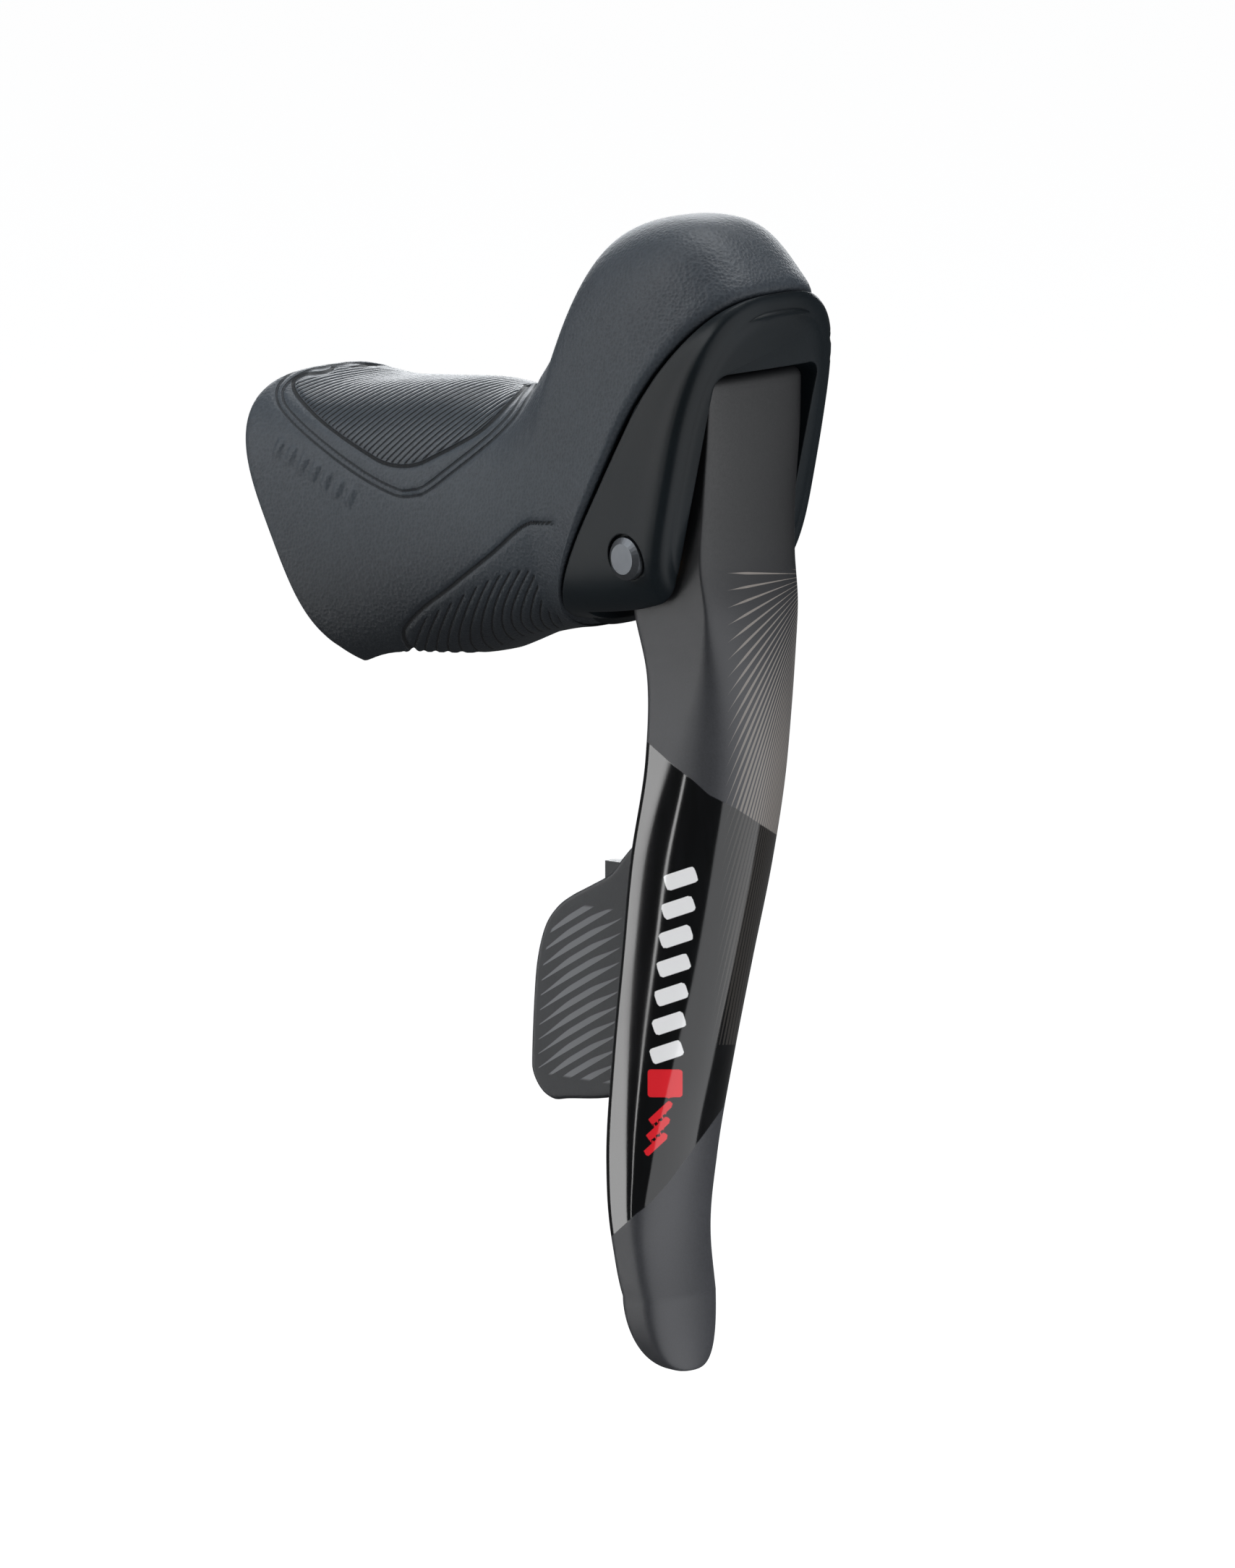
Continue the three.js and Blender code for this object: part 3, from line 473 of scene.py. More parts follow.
# ------------------------------------------------------------------ hood
PAD = [(-41.9, 29.2), (-46.7, 27.4), (-48.0, 26.3), (-47.4, 24.3), (-44.3, 20.9), (-40.8, 18.1), (-37.4, 15.8), (-34.6, 14.2), (-32.0, 13.7), (-29.5, 14.0), (-27.1, 15.1), (-23.7, 16.8), (-20.2, 18.9), (-16.8, 22.3), (-13.4, 26.3), (-12.5, 30.2), (-16.8, 40.5), (-43.6, 40.5)]
LOOP = [(-40.5, 30.4), (-43.4, 29.1), (-45.6, 28.7), (-48.5, 27.0), (-49.9, 25.2), (-49.6, 23.0), (-47.7, 20.6), (-44.3, 17.5), (-39.8, 14.0), (-36.1, 11.6), (-32.6, 9.9), (-30.5, 9.8), (-28.5, 10.4), (-25.4, 12.7), (-21.6, 15.6), (-18.6, 18.1), (-16.1, 20.7), (-14.4, 23.3), (-13.0, 25.9), (-12.1, 30.2)]
LOW = [(-10.3, 5.2), (-12.4, 5.3), (-13.7, 5.2), (-15.5, 4.1), (-18.6, 1.3), (-22.0, -1.4), (-25.4, -4.1), (-28.9, -6.7), (-31.2, -9.0), (-31.8, -10.3), (-31.4, -11.8), (-29.7, -13.6)]
LPAD = [(-30.9, -10.0), (-25.4, -5.9), (-22.0, -3.8), (-18.6, -2.0), (-15.8, -1.2), (-13.7, -1.1), (-12.4, -2.1), (-11.9, -3.5), (-11.6, -5.2), (-10.6, -6.9), (-8.6, -8.7), (-6.5, -19.3), (-31.2, -19.3)]
RIB_C, RIB_TOP, RIB_LOW = 0.9, 1.2, 1.35
PAD_S, LOOP_S, LOW_S = curve(PAD, 5, True), curve(LOOP, 5), curve(LOW, 5)
LPAD_S = curve(LPAD, 4, True)
# generic raised dashes on the side of the grip
DASHES = [((-49.9 + 1.72 * i, 16.7 - 1.22 * i), 1.16, 1.25, .48) for i in range(7)]


def rib_height(C, period, lo, hi):
    f = np.abs(((C / period) % 1.0) - 0.5) * 2.0          # 1 at the groove
    t = np.clip((f - lo) / (hi - lo), 0, 1)
    return -(t * t * (3 - 2 * t))


def hood_fields(p):
    P = plane(p)
    C = p[:, 0] - RIB_C * p[:, 2]
    return P, C, poly_sdf(P, PAD_S), line_dist(P, LOOP_S), line_dist(P, LOW_S), poly_sdf(P, LPAD_S)


NP = 288
us = np.concatenate([[0.0, 0.003, 0.008], np.linspace(0.015, 0.62, 214), np.linspace(0.62, 0.975, 64)[1:], [0.982, 0.988, 0.993, 0.997, 1.0]])
outer = np.array([hood_ring(u, 0.0, NP) for u in us])
du = np.gradient(outer, axis=0)
dp = np.roll(outer, -1, 1) - np.roll(outer, 1, 1)
nrm = np.cross(du, dp)
nrm /= np.maximum(np.linalg.norm(nrm, axis=2, keepdims=True), 1e-9)
cen = outer.mean(1, keepdims=True)
if (nrm * (outer - cen)).sum() < 0:
    nrm = -nrm
flat = outer.reshape(-1, 3)
P, C, dpad, dloop, dlow, dlpad = hood_fields(flat)
smoothstep = lambda x: (lambda t: t * t * (3 - 2 * t))(np.clip(x, 0, 1))
side = smoothstep((np.abs(flat[:, 1]) - 3.0) / 4.0)              # low pads leave the keel plain
D = np.zeros(len(flat))
inpad = smoothstep((-dpad - 0.15) / 0.5)
D += inpad * (0.10 + 0.16 * rib_height(C, RIB_TOP, 0.35, 0.95))
D -= 0.30 * np.exp(-(dpad / 0.38) ** 2)
D -= 0.26 * (np.exp(-((dloop - 0.45) / 0.26) ** 2))
D += 0.08 * np.exp(-(dloop / 0.3) ** 2)
D -= 0.34 * np.exp(-(dlow / 0.42) ** 2)
inl = smoothstep((-dlpad - 0.1) / 0.5) * side
D += inl * (0.02 + 0.20 * rib_height(C, RIB_LOW, 0.30, 0.95))
for c, a, hl, hw in DASHES:
    D += 0.28 * smoothstep((0.22 - bar_sdf(P, c, a, hl, hw)) / 0.4)
uu = np.repeat(us, NP)
D *= smoothstep((uu - 0.004) / 0.02) * smoothstep((0.985 - uu) / 0.02)
outer = (flat + nrm.reshape(-1, 3) * D[:, None]).reshape(outer.shape)


# lips: the outer rings near both ends draw in to round the rubber's edge
def inset_rows(arr, idx, amount):
    for i, a in zip(idx, amount):
        arr[i] = hood_ring(us[i], a, NP)


inset_rows(outer, [0, 1, 2], [0.75, 0.3, 0.08])
k = len(us)
inset_rows(outer, [k - 1, k - 2, k - 3, k - 4], [0.8, 0.42, 0.18, 0.04])
ui = np.concatenate([[1.0, 0.994, 0.985], np.linspace(0.96, 0.03, 46), [0.01, 0.003, 0.0]])
ins = np.full(len(ui), 2.3)
ins[0], ins[1], ins[-1], ins[-2] = 1.7, 2.2, 1.7, 2.15
inner = [hood_ring(u, a, NP) for u, a in zip(ui, ins)]
hv, hf = skin(list(outer) + inner, closed=True)
hood = make("hood_rubber", hv, hf)
co = coords(hood)
tri = np.array([[f.vertices[0], f.vertices[1], f.vertices[2]] for f in hood.data.polygons[:2000]])
cross = np.cross(co[tri[:, 1]] - co[tri[:, 0]], co[tri[:, 2]] - co[tri[:, 0]])
mid = co[tri].mean(1)
ctr = np.array([hood_ring(0.02, 0, 64).mean(0)])
if ((cross * (mid - ctr)).sum(1) > 0).mean() < 0.5:
    hood.data.flip_normals()
BAR_AXIS, BAR_N = np.array([0.39, 0, -0.92]), np.array([0.92, 0, 0.39])
CL = -PIV


def bar_pt(a, b, y=0.0):
    return CL + BAR_N * a + BAR_AXIS * b + np.array([0, y, 0])


def bar_box(a0, a1, y0, y1, b0, b1):
    q = lambda a, y, b: bar_pt(a, b, y)
    return skin([np.array([q(a0, y0, b), q(a1, y0, b), q(a1, y1, b), q(a0, y1, b)]) for b in (b0, b1)])


boolean(hood, rod(13.4, 40, bar_pt(0, 6), BAR_AXIS, 64))
boolean(hood, bar_box(-14, 19.8, -13.3, 13.3, -3.6, 3.6))
smooth(hood, 60)
hp = coords(hood)
P, C, dpad, dloop, dlow, dlpad = hood_fields(hp)
put(hood, "d_pad", dpad)
put(hood, "d_loop", dloop)
put(hood, "d_low", dlow)
put(hood, "d_lpad", np.where(np.abs(hp[:, 1]) < 4, 1.0, dlpad))
put(hood, "d_dash", np.min([bar_sdf(P, c, a, hl, hw) for c, a, hl, hw in DASHES], axis=0))

m = Mat("rubber_hood", srgb("#2a2f34"), 0.6, spec=0.34)
sep = m.n("ShaderNodeSeparateXYZ")
m.t.links.new(m.co, sep.inputs[0])
cval = m.math("MULTIPLY", m.math("SUBTRACT", m.math("SUBTRACT", sep.outputs["X"], PIV[0] * MM), m.math("MULTIPLY", m.math("SUBTRACT", sep.outputs["Z"], PIV[2] * MM), RIB_C)), 1000.0)


def ribs(m, cval, period, lo, hi):
    f = m.math("MULTIPLY", m.math("ABSOLUTE", m.math("SUBTRACT", m.math("FRACT", m.math("DIVIDE", cval, period)), 0.5)), 2.0)
    return m.step(f, lo, hi)


pad_in = m.step(m.attr("d_pad"), -0.45, -0.30, 1.0, 0.0)
lpad_in = m.step(m.attr("d_lpad"), -0.5, -0.3, 1.0, 0.0)
rt = m.math("MULTIPLY", ribs(m, cval, RIB_TOP, 0.62, 0.86), pad_in)
rl = m.math("MULTIPLY", ribs(m, cval, RIB_LOW, 0.60, 0.88), lpad_in)
edge_pad = m.step(m.math("ABSOLUTE", m.attr("d_pad")), 0.16, 0.34, 1.0, 0.0)
edge_loop = m.step(m.math("ABSOLUTE", m.math("SUBTRACT", m.attr("d_loop"), 0.45)), 0.08, 0.22, 1.0, 0.0)
edge_low = m.step(m.attr("d_low"), 0.16, 0.36, 1.0, 0.0)
groove = m.math("MAXIMUM", m.math("MAXIMUM", rt, rl), m.math("MAXIMUM", edge_pad, m.math("MAXIMUM", m.math("MULTIPLY", edge_loop, 0.75), edge_low)))
big = m.noise(0.035, 4)
leather = m.cells(1.9)
fine = m.noise(4.5, 2)
grain = m.math("ADD", m.math("MULTIPLY", leather, 0.75), m.math("MULTIPLY", fine, 0.35))
base = m.mix(m.lin(big, 0.35, 0.65), srgb("#2a2f35"), srgb("#343a40"))
base = m.mix(m.lin(grain, 0.15, 0.75, 0.0, 0.30), base, srgb("#4a5158"))
# painted shade: the rubber's colour darkens towards the underside, from 4 mm above the pivot down to 72% of the way to
# near black by 21 mm below it
height = m.math("MULTIPLY", m.math("SUBTRACT", sep.outputs["Z"], PIV[2] * MM), 1000.0)
base = m.mix(m.step(height, -21.0, 4.0, 0.72, 0.0), base, srgb("#0b0d0f"))
# painted shade: the rib grooves and the grooves round the pads, loop and lower line are darkened 82% of the way to near
# black
m.color(m.mix(m.math("MULTIPLY", groove, 0.82), base, srgb("#08090b")))
smooth_land = m.math("MULTIPLY", pad_in, 0.10)
m.rough(m.math("SUBTRACT", m.math("ADD", m.lin(m.math("ADD", m.math("MULTIPLY", big, 0.4), m.math("MULTIPLY", fine, 0.6)), 0.3, 0.7, 0.46, 0.58), m.math("MULTIPLY", groove, 0.25)), smooth_land))
n1 = m.bump(m.math("MULTIPLY", grain, m.math("SUBTRACT", 1.0, m.math("MULTIPLY", pad_in, 0.7))), 0.11, 0.85)
m.bump(m.math("MULTIPLY", groove, -1.0), 0.16, 0.9, prev=n1)
hood.data.materials.clear()
hood.data.materials.append(m.m)
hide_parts("hood_cover")
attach(hood, "bracket")

# ------------------------------------------------------------------ bracket
NOSE = [(-18.3, -12.4, 12.0, 40.9, 15.0, 4.5), (-12.0, -11.6, 12.7, 40.4, 15.1, 4.0), (-4.0, -10.2, 13.5, 39.6, 15.1, 3.0),
        (1.6, -8.6, 14.2, 38.7, 15.1, 2.4), (3.6, -7.6, 14.7, 37.9, 14.7, 2.0), (4.8, -6.4, 15.1, 36.8, 13.9, 1.6), (5.2, -5.2, 15.3, 35.6, 12.6, 1.2)]
nose_rings = []
for bx, bz, tx, tz, w, fw in curve(NOSE, 9):
    nose_rings.append(respace(ring(bx, bz, tx, tz, w, 0.4, 3.1, 3.4, 0.0, fw, 1440), 260))
last = nose_rings[-1]
lc = last.mean(0)
for q, dx in ((0.985, 0.10), (0.95, 0.16), (0.90, 0.18)):
    nose_rings.append((last - lc) * q + lc + np.array([dx, 0, -dx * 0.4]))
nv, nf = skin(nose_rings)
ug = np.linspace(0.125, 1.0, 44)
body = make("bracket_shell", *skin([hood_ring(u, 2.6, 200) for u in ug]))
end = hood_ring(1.0, 2.6, 200)
boolean(body, skin([end + np.array([-0.9, 0, 0.5]), end + np.array([2.6, 0, -1.5])]), "UNION")
boolean(body, (nv, nf), "UNION")
ur = np.linspace(0.0, 1.0, 70)
room_rings = [hood_ring(u, -0.3, 260) for u in ur]
room_rings.append(room_rings[-1] + np.array([0.62, 0, -0.35]))
room = make("room", *skin(room_rings))
env = [hood_ring(u, 2.5, 200) for u in ur]
n0 = [f(0.0) for f in HF]
L0 = math.hypot(n0[2] - n0[0], n0[3] - n0[1])
env = [env[0] + np.array([-9 * (n0[3] - n0[1]) / L0, 0, 9 * (n0[2] - n0[0]) / L0])] + env + [env[-1] + np.array([9 * 0.87, 0, -9 * 0.49])]
boolean(room, skin(env))
boolean(body, room)
ca = np.linspace(0, math.pi / 2, 9)
prof = [(-10.2, -34.0), (10.2, -34.0)] + [(8.0 + 2.2 * math.cos(t), 25.4 + 2.2 * math.sin(t)) for t in ca] + [(-8.0 - 2.2 * math.sin(t), 25.4 + 2.2 * math.cos(t)) for t in ca]
slot_tool = skin([np.array([(x, y, z) for y, z in prof]) for x in (-12.6, 27.4)])
CAB_A, CAB_S, CAB_E = np.array([-12, -2.0, 6.5]), np.array([-38, -7.5, -4.6]), np.array([-50, -9.9, -9.3])
cuts = [
    rod(12.15, 90, bar_pt(0, -45), BAR_AXIS, 96), bar_box(-30, 2, -30, 30, -50, 50), slot_tool,
    rod(3.15, 40, [0, -20, 0], [0, 1, 0], 64), rod(3.6, 6, [0, -20, 0], [0, 1, 0], 64), rod(4.75, 6, [0, 13.6, 0], [0, 1, 0], 48),
    bar_box(0, 20, -14, 14, -4.6, 4.6), rod(2.65, 30, bar_pt(12, 0), BAR_N, 40), rod(4.9, 30, bar_pt(21.2, 0), BAR_N, 48),
    rod(1.25, float(np.linalg.norm(CAB_A - CAB_S)) + 8, CAB_S, CAB_A - CAB_S, 24), rod(2.7, 18, CAB_S, CAB_E - CAB_S, 40),
    rod(6.5, 20, [-2, 0, 31.8], [0, 0, 1], 56), rod(9.2, 20, [-2, 0, 36.4], [0, 0, 1], 64),
    box([-36.5, 3, -3.5], [-21.5, 20, 6.2]), box([-40.5, 8.6, -4.8], [-17.5, 20, 7.5]),
    rod(1.9, 10, [12.4, 8.8, 31.2], [0, 1, 0], 40), rod(0.95, 10, [12.2, 10.6, 27.7], [0, 1, 0], 24),
    rod(2.3, 12, [-26.0, 6.5, 11.4], [0, 1, 0], 32), rod(2.3, 12, [-19.5, 6.5, 12.4], [0, 1, 0], 32),
    rod(2.6, 4, [-14.8, 0, 20.6], [1, 0, 0], 32),
]
for d in (90, 210, 330):
    cuts.append(rod(0.85, 8, [-2 + 7.7 * math.cos(math.radians(d)), 7.7 * math.sin(math.radians(d)), 32.2], [0, 0, 1], 20))
for x, z in ((-38.5, 1.3), (-19.5, 1.3)):
    cuts.append(rod(0.85, 8, [x, 5.2, z], [0, 1, 0], 20))
for c in cuts:
    boolean(body, c)
smooth(body, 48)
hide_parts("bracket_body")
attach(body, "bracket")

# ------------------------------------------------------------------ blade
def blade_section(xr, xs, xf, hw, yc, z, k=1.0, half=34):
    rr = min(1.6, hw * 0.3)
    pts = []
    for i in range(7):
        a = i * math.pi / 12
        pts.append((xr + rr - rr * math.cos(a), -(hw - rr) - rr * math.sin(a)))
    for i in range(1, 11):
        pts.append((xr + rr + (xs - xr - rr) * i / 10, -hw))
    for i in range(1, 2 * half):
        a = -math.pi / 2 + i * math.pi / (2 * half)
        pts.append((xs + (xf - xs) * max(math.cos(a), 0) ** 0.75, hw * math.sin(a)))
    for i in range(10, 0, -1):
        pts.append((xr + rr + (xs - xr - rr) * i / 10, hw))
    for i in range(6, -1, -1):
        a = i * math.pi / 12
        pts.append((xr + rr - rr * math.cos(a), (hw - rr) + rr * math.sin(a)))
    for i in range(1, 8):
        pts.append((xr, (hw - rr) * (1 - 2 * i / 8)))
    cx = (xr + xf) / 2
    return np.array([(cx + (x - cx) * k, yc + y * k, z) for x, y in pts])


def blade_at(v, k=1.0, dz=0.0):
    z, xr, xs, xf, hw, yc = [f(v) for f in BF]
    return blade_section(xr, xs, xf, hw, yc, z + dz, k)


rings = [blade_at(0, q, dz) for q, dz in ((.80, 1.92), (.87, 1.88), (.92, 1.72), (.96, 1.40), (.985, .95), (1.0, .45))]
rings += [blade_at(0.004 + 0.946 * i / 240) for i in range(241)]
z95 = BF[0](0.95)
for a in np.linspace(0.06, 1.53, 26):
    k = math.cos(a) ** 0.66
    fall = (-120.3 - z95) * math.sin(a)
    rings.append(blade_at(0.95, k, fall) + np.array([3.7 * (1 - math.cos(a)) ** 0.8, 0, 0]))
blade = make("blade_shell", *skin(rings))
AX1, AX2 = np.array([-6.6, .5, -37.0]), np.array([-9.4, .5, -57.5])
AXL = float(np.linalg.norm(AX2 - AX1))
AXD = (AX2 - AX1) / AXL
ax_pt = lambda t: AX1 + AXD * t


def oriented_box(sx, sy, sz, at, d):
    d = np.array(d, float)
    q = Vector((0, 0, 1)).rotation_difference(Vector(d))
    X, Y, Z = [np.array(q @ Vector(e)) for e in ((1, 0, 0), (0, 1, 0), (0, 0, 1))]
    at = np.array(at, float)
    r = []
    for s in (-sz / 2, sz / 2):
        r.append(np.array([at + X * a + Y * b + Z * s for a, b in ((-sx / 2, -sy / 2), (sx / 2, -sy / 2), (sx / 2, sy / 2), (-sx / 2, sy / 2))]))
    return skin(r)


for t0, t1 in ((-3.6, -0.6), (AXL + 0.9, AXL + 3.9)):
    q = ax_pt((t0 + t1) / 2)
    boolean(blade, rod(2.3, t1 - t0, ax_pt(t0), AXD, 40), "UNION")
    boolean(blade, oriented_box(7.5, 4.6, t1 - t0, q + np.array([3.75, 0, 0]), AXD), "UNION")
boolean(blade, box([-14, -6.3, -7], [6.0, 6.3, 17.5]))
boolean(blade, rod(4.05, 24, [0, -12, 0], [0, 1, 0], 64))
boolean(blade, rod(2.1, 17.6, [1.5, -8.8, 13.0], [0, 1, 0], 32))
boolean(blade, rod(2.05, 9, [-4.5, 0, 20.6], [1, 0, 0], 32))
boolean(blade, rod(1.0, AXL + 12, ax_pt(-6), AXD, 24))
smooth(blade, 32)
bp = coords(blade)
B = plane(bp, mirror=False)
G1 = [(-20.0, -8.0), (3.5, -26.2), (7.4, -29.7), (9.7, -31.4), (12.1, -33.6), (15.8, -35.4), (21.5, -39.1), (40.0, -50.0)]
G2 = [(40.0, -50.0), (14.2, -78.7), (6.7, -89.0), (3.7, -92.4), (1.8, -93.8), (-1.5, -96.9), (-20.0, -112.0)]
GLOSS = G1 + G2[1:]
gl = poly_sdf(B, GLOSS)
rear = bp[:, 0] < (np.interp(bp[:, 2], [r[1] for r in BLADE][::-1], [r[2] for r in BLADE][::-1]) + 0.35)
put(blade, "d_gloss", np.where(rear, 2.0, gl))
# rays on the front: slanting hatch that runs in from the inner edge
rayzone = poly_sdf(B, [(32, -1.4), (12, -1.4), (9, -69.5), (32, -69.5)])
put(blade, "d_ray", np.where(rear, 2.0, rayzone))
put(blade, "s_a", B[:, 0])
put(blade, "s_b", B[:, 1])
marks = [((8.1 - 0.33 * i, -45.6 - 4.15 * i), 0.32, 2.35, 1.15) for i in range(7)]
white = np.min([bar_sdf(B, c, a, hl, hw, .45) for c, a, hl, hw in marks], axis=0)
red = np.min([bar_sdf(B, (5.9, -75.0), 0.0, 2.5, 2.0, .4)] + [bar_sdf(B, (5.3 - .35 * i, -79.2 - 2.3 * i), 0.75, 2.1, 0.5, .2) for i in range(3)], axis=0)
put(blade, "d_white", np.where(rear, 2.0, white))
put(blade, "d_red", np.where(rear, 2.0, red))

m = Mat("blade_finish", srgb("#17181a"), 0.3, spec=0.5)
gloss = m.step(m.attr("d_gloss"), -0.12, 0.12, 1.0, 0.0)
a, b = m.attr("s_a"), m.attr("s_b")
# a fan of slender rays that start on a line down the front and close up towards the inner edge
reach = m.math("SUBTRACT", 27.4, a)
slope = m.math("DIVIDE", m.math("SUBTRACT", -2.0, b), reach)
frac = m.math("ABSOLUTE", m.math("SUBTRACT", m.math("FRACT", m.math("ADD", m.math("DIVIDE", slope, 0.197), 0.5)), 0.5))
perp = m.math("DIVIDE", m.math("MULTIPLY", m.math("MULTIPLY", frac, 0.197), reach), m.math("SQRT", m.math("ADD", 1.0, m.math("MULTIPLY", slope, slope))))
start = m.lin(b, -68.0, -28.0, 12.4, 14.7)
t_ray = m.math("SUBTRACT", a, start)
half = m.math("MULTIPLY", m.step(t_ray, 0.0, 3.0, 0.0, 0.17), m.lin(t_ray, 3.0, 9.0, 1.0, 0.18))
ray = m.math("MULTIPLY", m.step(m.math("SUBTRACT", half, perp), -0.035, 0.035), m.math("MULTIPLY", m.step(t_ray, 0.0, 0.25), m.step(m.attr("d_ray"), -0.1, 0.1, 1.0, 0.0)))
big = m.noise(0.05, 4)
fine = m.noise(3.2, 3)
weave = m.noise(0.5, 5, 0.6, vec=m.scaled((1, 1, 0.18)))
matte = m.mix(m.lin(m.math("ADD", m.math("MULTIPLY", fine, 0.5), m.math("MULTIPLY", big, 0.5)), 0.35, 0.65), srgb("#333437"), srgb("#3d3e42"))
# painted shade: the matte front darkens to near black towards its top, where the blade runs up into the bracket's slot
matte = m.mix(m.step(b, -24.0, 6.0), matte, srgb("#121315"))
shiny = m.mix(m.lin(weave, 0.4, 0.7), srgb("#060708"), srgb("#0d0e10"))
col = m.mix(gloss, matte, shiny)
col = m.mix(m.math("MULTIPLY", ray, m.mixf(gloss, 0.85, 0.13)), col, srgb("#857f79"))
col = m.mix(m.step(m.attr("d_white"), -0.06, 0.06, 1.0, 0.0), col, (0.93, 0.93, 0.93))
col = m.mix(m.step(m.attr("d_red"), -0.06, 0.06, 1.0, 0.0), col, (0.78, 0.02, 0.03))
m.color(col)
m.rough(m.mixf(gloss, m.lin(fine, 0.3, 0.7, 0.42, 0.52), m.lin(big, 0.35, 0.65, 0.07, 0.12)))
m.bump(m.math("MULTIPLY", fine, m.math("SUBTRACT", 1.0, m.math("MULTIPLY", gloss, 0.92))), 0.02, 0.5, edge_mm=0.25)
blade.data.materials.clear()
blade.data.materials.append(m.m)
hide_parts("brake_lever")
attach(blade, "lever")

# ------------------------------------------------------------------ paddle
OUT = [[-7.6, -43.0], [-9.5, -44.4], [-11.5, -46.6], [-13.5, -49.0], [-17.0, -51.1], [-20.4, -53.0], [-23.0, -55.0],
       [-25.1, -58.0], [-26.5, -62.9], [-27.1, -68.7], [-27.5, -77.1], [-27.3, -79.9], [-25.8, -82.3], [-23.7, -83.4], [-21.4, -83.1],
       [-12.1, -81.2], [-10.9, -75.0], [-8.9, -60.0]]
o = curve(OUT, 7, True)
s = np.concatenate([[0], np.cumsum(np.linalg.norm(np.diff(np.vstack([o, o[:1]]), axis=0), axis=1))])
t = np.arange(180) * s[-1] / 180
o = np.stack([np.interp(t, s, np.append(o[:, k], o[0, k])) for k in range(2)], 1)
tan = np.roll(o, -1, 0) - np.roll(o, 1, 0)
tan = (tan + np.roll(tan, 1, 0) + np.roll(tan, -1, 0)) / 3
nn = np.stack([tan[:, 1], -tan[:, 0]], 1)
nn /= np.linalg.norm(nn, axis=1, keepdims=True)
if (nn * (o - o.mean(0))).sum() < 0:
    nn = -nn
PY = lambda x: -4.5 + 0.18 * (x + 9.0)
rows = []
for inset, h in ((1.6, 0.0), (.9, 0.0), (.55, 0.02), (.30, .08), (.12, .22), (.02, .42), (0, .60), (0, 1.45), (.05, 1.7), (.2, 1.88), (.5, 2.0), (1.6, 2.0)):
    q = o - nn * inset
    rows.append(np.stack([q[:, 0], PY(q[:, 0]) + h, q[:, 1]], 1))
paddle = make("paddle_plate", *skin(rows))
boolean(paddle, rod(2.3, 15.0, AX1, AXD, 48), "UNION")


def web(z):
    ax = AX1[0] + (z - AX1[2]) * (AX2[0] - AX1[0]) / (AX2[2] - AX1[2])
    return np.array([[ax + 1.2, -1.3, z], [ax - 1.0, PY(ax - 1.0) + .3, z], [-14.5, PY(-14.5) + .3, z], [-14.5, PY(-14.5) + 1.7, z], [ax - 1.6, 1.9, z]])


boolean(paddle, skin([web(-47.2), web(-51.4)]), "UNION")
boolean(paddle, rod(1.02, AXL + 12, ax_pt(-6), AXD, 24))
smooth(paddle, 35)
pp = coords(paddle)
put(paddle, "p_x", pp[:, 0])
put(paddle, "p_z", pp[:, 2])
put(paddle, "p_face", np.where(pp[:, 1] < PY(pp[:, 0]) + 0.3, 1.0, 0.0))
put(paddle, "d_edge", poly_sdf(pp[:, [0, 2]], o))
m = Mat("paddle_finish", srgb("#26282b"), 0.42, spec=0.5)
x, z = m.attr("p_x"), m.attr("p_z")
saw = m.math("FRACT", m.math("DIVIDE", m.math("ADD", z, m.math("MULTIPLY", x, -0.62)), 2.1))
wid = m.math("MULTIPLY", m.step(x, -26.5, -20.0, 0.1, 1.0), m.step(x, -17.5, -11.0, 0.48, 0.06))
zone = m.math("MULTIPLY", m.math("MULTIPLY", m.step(m.attr("d_edge"), -1.6, -1.3, 1.0, 0.0), m.step(z, -80.0, -79.5)), m.math("MULTIPLY", m.step(z, -54.5, -54.0, 1.0, 0.0), m.attr("p_face")))
hatch = m.math("MULTIPLY", m.step(m.math("SUBTRACT", wid, saw), -0.04, 0.04), zone)
fine = m.noise(3.0, 3)
big = m.noise(0.07, 4)
base = m.mix(m.lin(m.math("ADD", m.math("MULTIPLY", fine, .5), m.math("MULTIPLY", big, .5)), .35, .65), srgb("#222427"), srgb("#2d2f33"))
m.color(m.mix(m.math("MULTIPLY", hatch, 0.85), base, srgb("#797b7e")))
m.rough(m.lin(fine, 0.3, 0.7, 0.36, 0.5))
m.bump(fine, 0.025, 0.5, edge_mm=0.1)
paddle.data.materials.clear()
paddle.data.materials.append(m.m)
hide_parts("shift_paddle")
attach(paddle, "paddle")

# ------------------------------------------------------------------ materials of the carried-over nodes
MATS = {
    "resin": moulded("satin_resin", srgb("#101518"), srgb("#161c20"), 0.34, 0.44, grain=2.6, depth=0.012, spec=0.16, edge=0.35),
    "steel": metal("turned_steel", srgb("#8f9296"), srgb("#a7a9ab"), 0.26, 0.4),
    "black_steel": metal("black_steel", srgb("#1c1e20"), srgb("#2a2c2f"), 0.28, 0.42),
    "alloy": metal("blasted_alloy", srgb("#8c9095"), srgb("#a4a8ac"), 0.34, 0.46, depth=0.015),
    "brass": metal("brass", srgb("#a5803f"), srgb("#bf9a58"), 0.24, 0.4),
    "board": moulded("board_mask", srgb("#17502f"), srgb("#1f6a3d"), 0.35, 0.5, grain=1.2, depth=0.02),
    "polymer": moulded("moulded_polymer", srgb("#1d2023"), srgb("#292c30"), 0.42, 0.55, grain=2.4, depth=0.03),
    "soft": moulded("soft_rubber", srgb("#17181a"), srgb("#232527"), 0.62, 0.78, grain=1.8, depth=0.05, spec=0.35),
    "lens": moulded("lens_polymer", srgb("#c9d0d4"), srgb("#dde3e6"), 0.14, 0.22, grain=1.0, depth=0.004, coat=0.3),
}
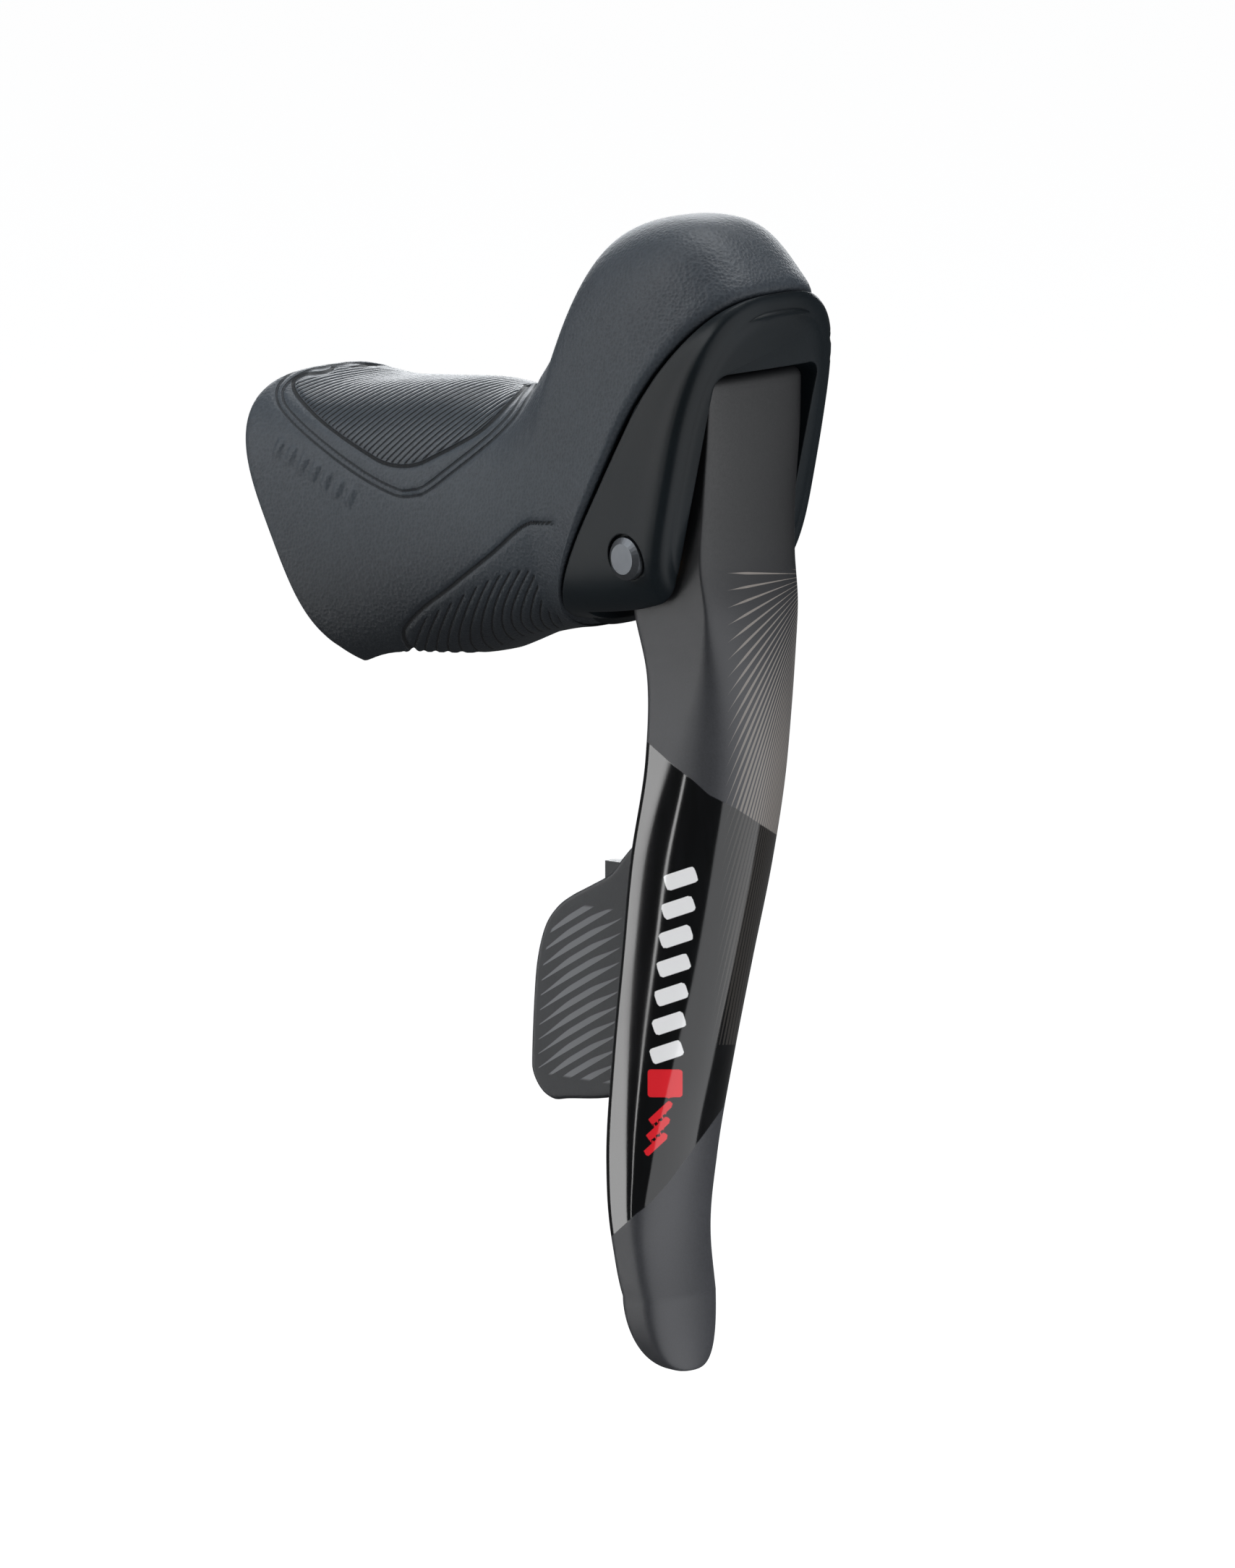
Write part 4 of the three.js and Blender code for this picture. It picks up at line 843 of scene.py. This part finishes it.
SLOT_OF = {
    "bracket_body": "resin", "battery_cell": "steel", "battery_contact": "brass", "battery_door": "polymer", "door_gasket": "soft",
    "door_screw_1": "steel", "door_screw_2": "steel", "door_screw_3": "steel", "circuit_board": "board", "electronics_cover": "polymer",
    "cover_screw_1": "steel", "cover_screw_2": "steel", "function_button": "polymer", "status_light": "lens", "port_plug_1": "soft",
    "port_plug_2": "soft", "clamp_band": "alloy", "clamp_nut": "steel", "clamp_washer": "steel", "clamp_bolt": "black_steel",
    "housing_stop": "alloy", "lever_pivot_pin": "steel", "pivot_clip": "black_steel", "lever_bush_outer": "brass", "lever_bush_inner": "brass",
    "lever_return_spring": "steel", "rest_bumper": "soft", "reach_adjust_screw": "black_steel", "cable_anchor": "steel",
    "paddle_pivot_pin": "steel", "paddle_return_spring": "steel", "paddle_switch": "polymer", "switch_plunger": "lens",
}
body.data.materials.clear()
body.data.materials.append(MATS["resin"].m)
MATS["pin"] = metal("pivot_steel", srgb("#5c5f63"), srgb("#6c6f73"), 0.40, 0.52)
SLOT_OF["lever_pivot_pin"] = "pin"
for name, ob in nodes.items():
    key = SLOT_OF.get(name)
    if not key:
        continue
    ob.data.materials.clear()
    ob.data.materials.append(MATS[key].m)
    ob.data.shade_smooth()
    ob.data.set_sharp_from_angle(angle=math.radians(30))

# ------------------------------------------------------------------ floor, light, background
fm = Mat("floor_paper", (0.86, 0.86, 0.87), 0.9, spec=0.1)
fm.color(fm.mix(fm.lin(fm.noise(0.004, 2), 0.3, 0.7), (0.86, 0.86, 0.865), (0.88, 0.88, 0.885)))
fm.b.inputs["Emission Color"].default_value = (1, 1, 1, 1)
fm.b.inputs["Emission Strength"].default_value = 0.9
under = fm.n("ShaderNodeBsdfTransparent")
pick = fm.n("ShaderNodeMixShader")
fm.t.links.new(fm.n("ShaderNodeNewGeometry").outputs["Backfacing"], pick.inputs[0])
fm.t.links.new(fm.b.outputs["BSDF"], pick.inputs[1])
fm.t.links.new(under.outputs[0], pick.inputs[2])
fm.t.links.new(pick.outputs[0], fm.out.inputs["Surface"])
me = bpy.data.meshes.new("floor")
me.from_pydata([(-12, -12, -0.42), (12, -12, -0.42), (12, 12, -0.42), (-12, 12, -0.42)], [], [(0, 1, 2, 3)])
floor = bpy.data.objects.new("floor", me)
scene.collection.objects.link(floor)
me.materials.append(fm.m)
floor.visible_diffuse = False
floor.visible_glossy = False
floor.visible_shadow = False

world = bpy.data.worlds.new("studio")
scene.world = world
world.use_nodes = True
wt = world.node_tree
bg = wt.nodes["Background"]
lp = wt.nodes.new("ShaderNodeLightPath")
mr = wt.nodes.new("ShaderNodeMapRange")
mr.inputs["To Min"].default_value = 0.09
mr.inputs["To Max"].default_value = 1.0
wt.links.new(lp.outputs["Is Camera Ray"], mr.inputs["Value"])
wt.links.new(mr.outputs["Result"], bg.inputs["Strength"])
bg.inputs["Color"].default_value = (0.97, 0.98, 1.0, 1)
scene.view_settings.view_transform = "Standard"


def area(name, at, look, sx, sy, power, color=(1, 1, 1)):
    d = bpy.data.lights.new(name, "AREA")
    d.shape = "RECTANGLE"
    d.size, d.size_y = sx, sy
    d.energy = power
    d.color = color
    ob = bpy.data.objects.new(name, d)
    scene.collection.objects.link(ob)
    at, look = Vector(at), Vector(look)
    ob.matrix_world = Matrix.Translation(at) @ (at - look).to_track_quat("Z", "Y").to_matrix().to_4x4()
    ob.visible_camera = False
    return ob


CTR = (0.03, 0.0, -0.01)
area("top_softbox", (0.0, 0.15, 0.80), CTR, 0.9, 0.5, 8.0, (0.97, 0.985, 1.0))
area("back_panel", (-0.52, 0.62, 0.24), CTR, 0.9, 0.36, 6.5, (0.96, 0.98, 1.0))
area("side_key", (-0.62, -0.60, 0.00), CTR, 0.16, 1.1, 3.2)
area("side_high", (-0.30, -0.80, 0.62), CTR, 0.6, 0.35, 4.0, (0.97, 0.985, 1.0))
area("ridge_strip", (-0.25, -0.80, -0.05), CTR, 0.05, 1.1, 1.3)
area("front_panel", (0.55, 0.05, -0.20), (0.06, 0, -0.05), 0.80, 0.9, 4.5, (0.97, 0.98, 1.0))
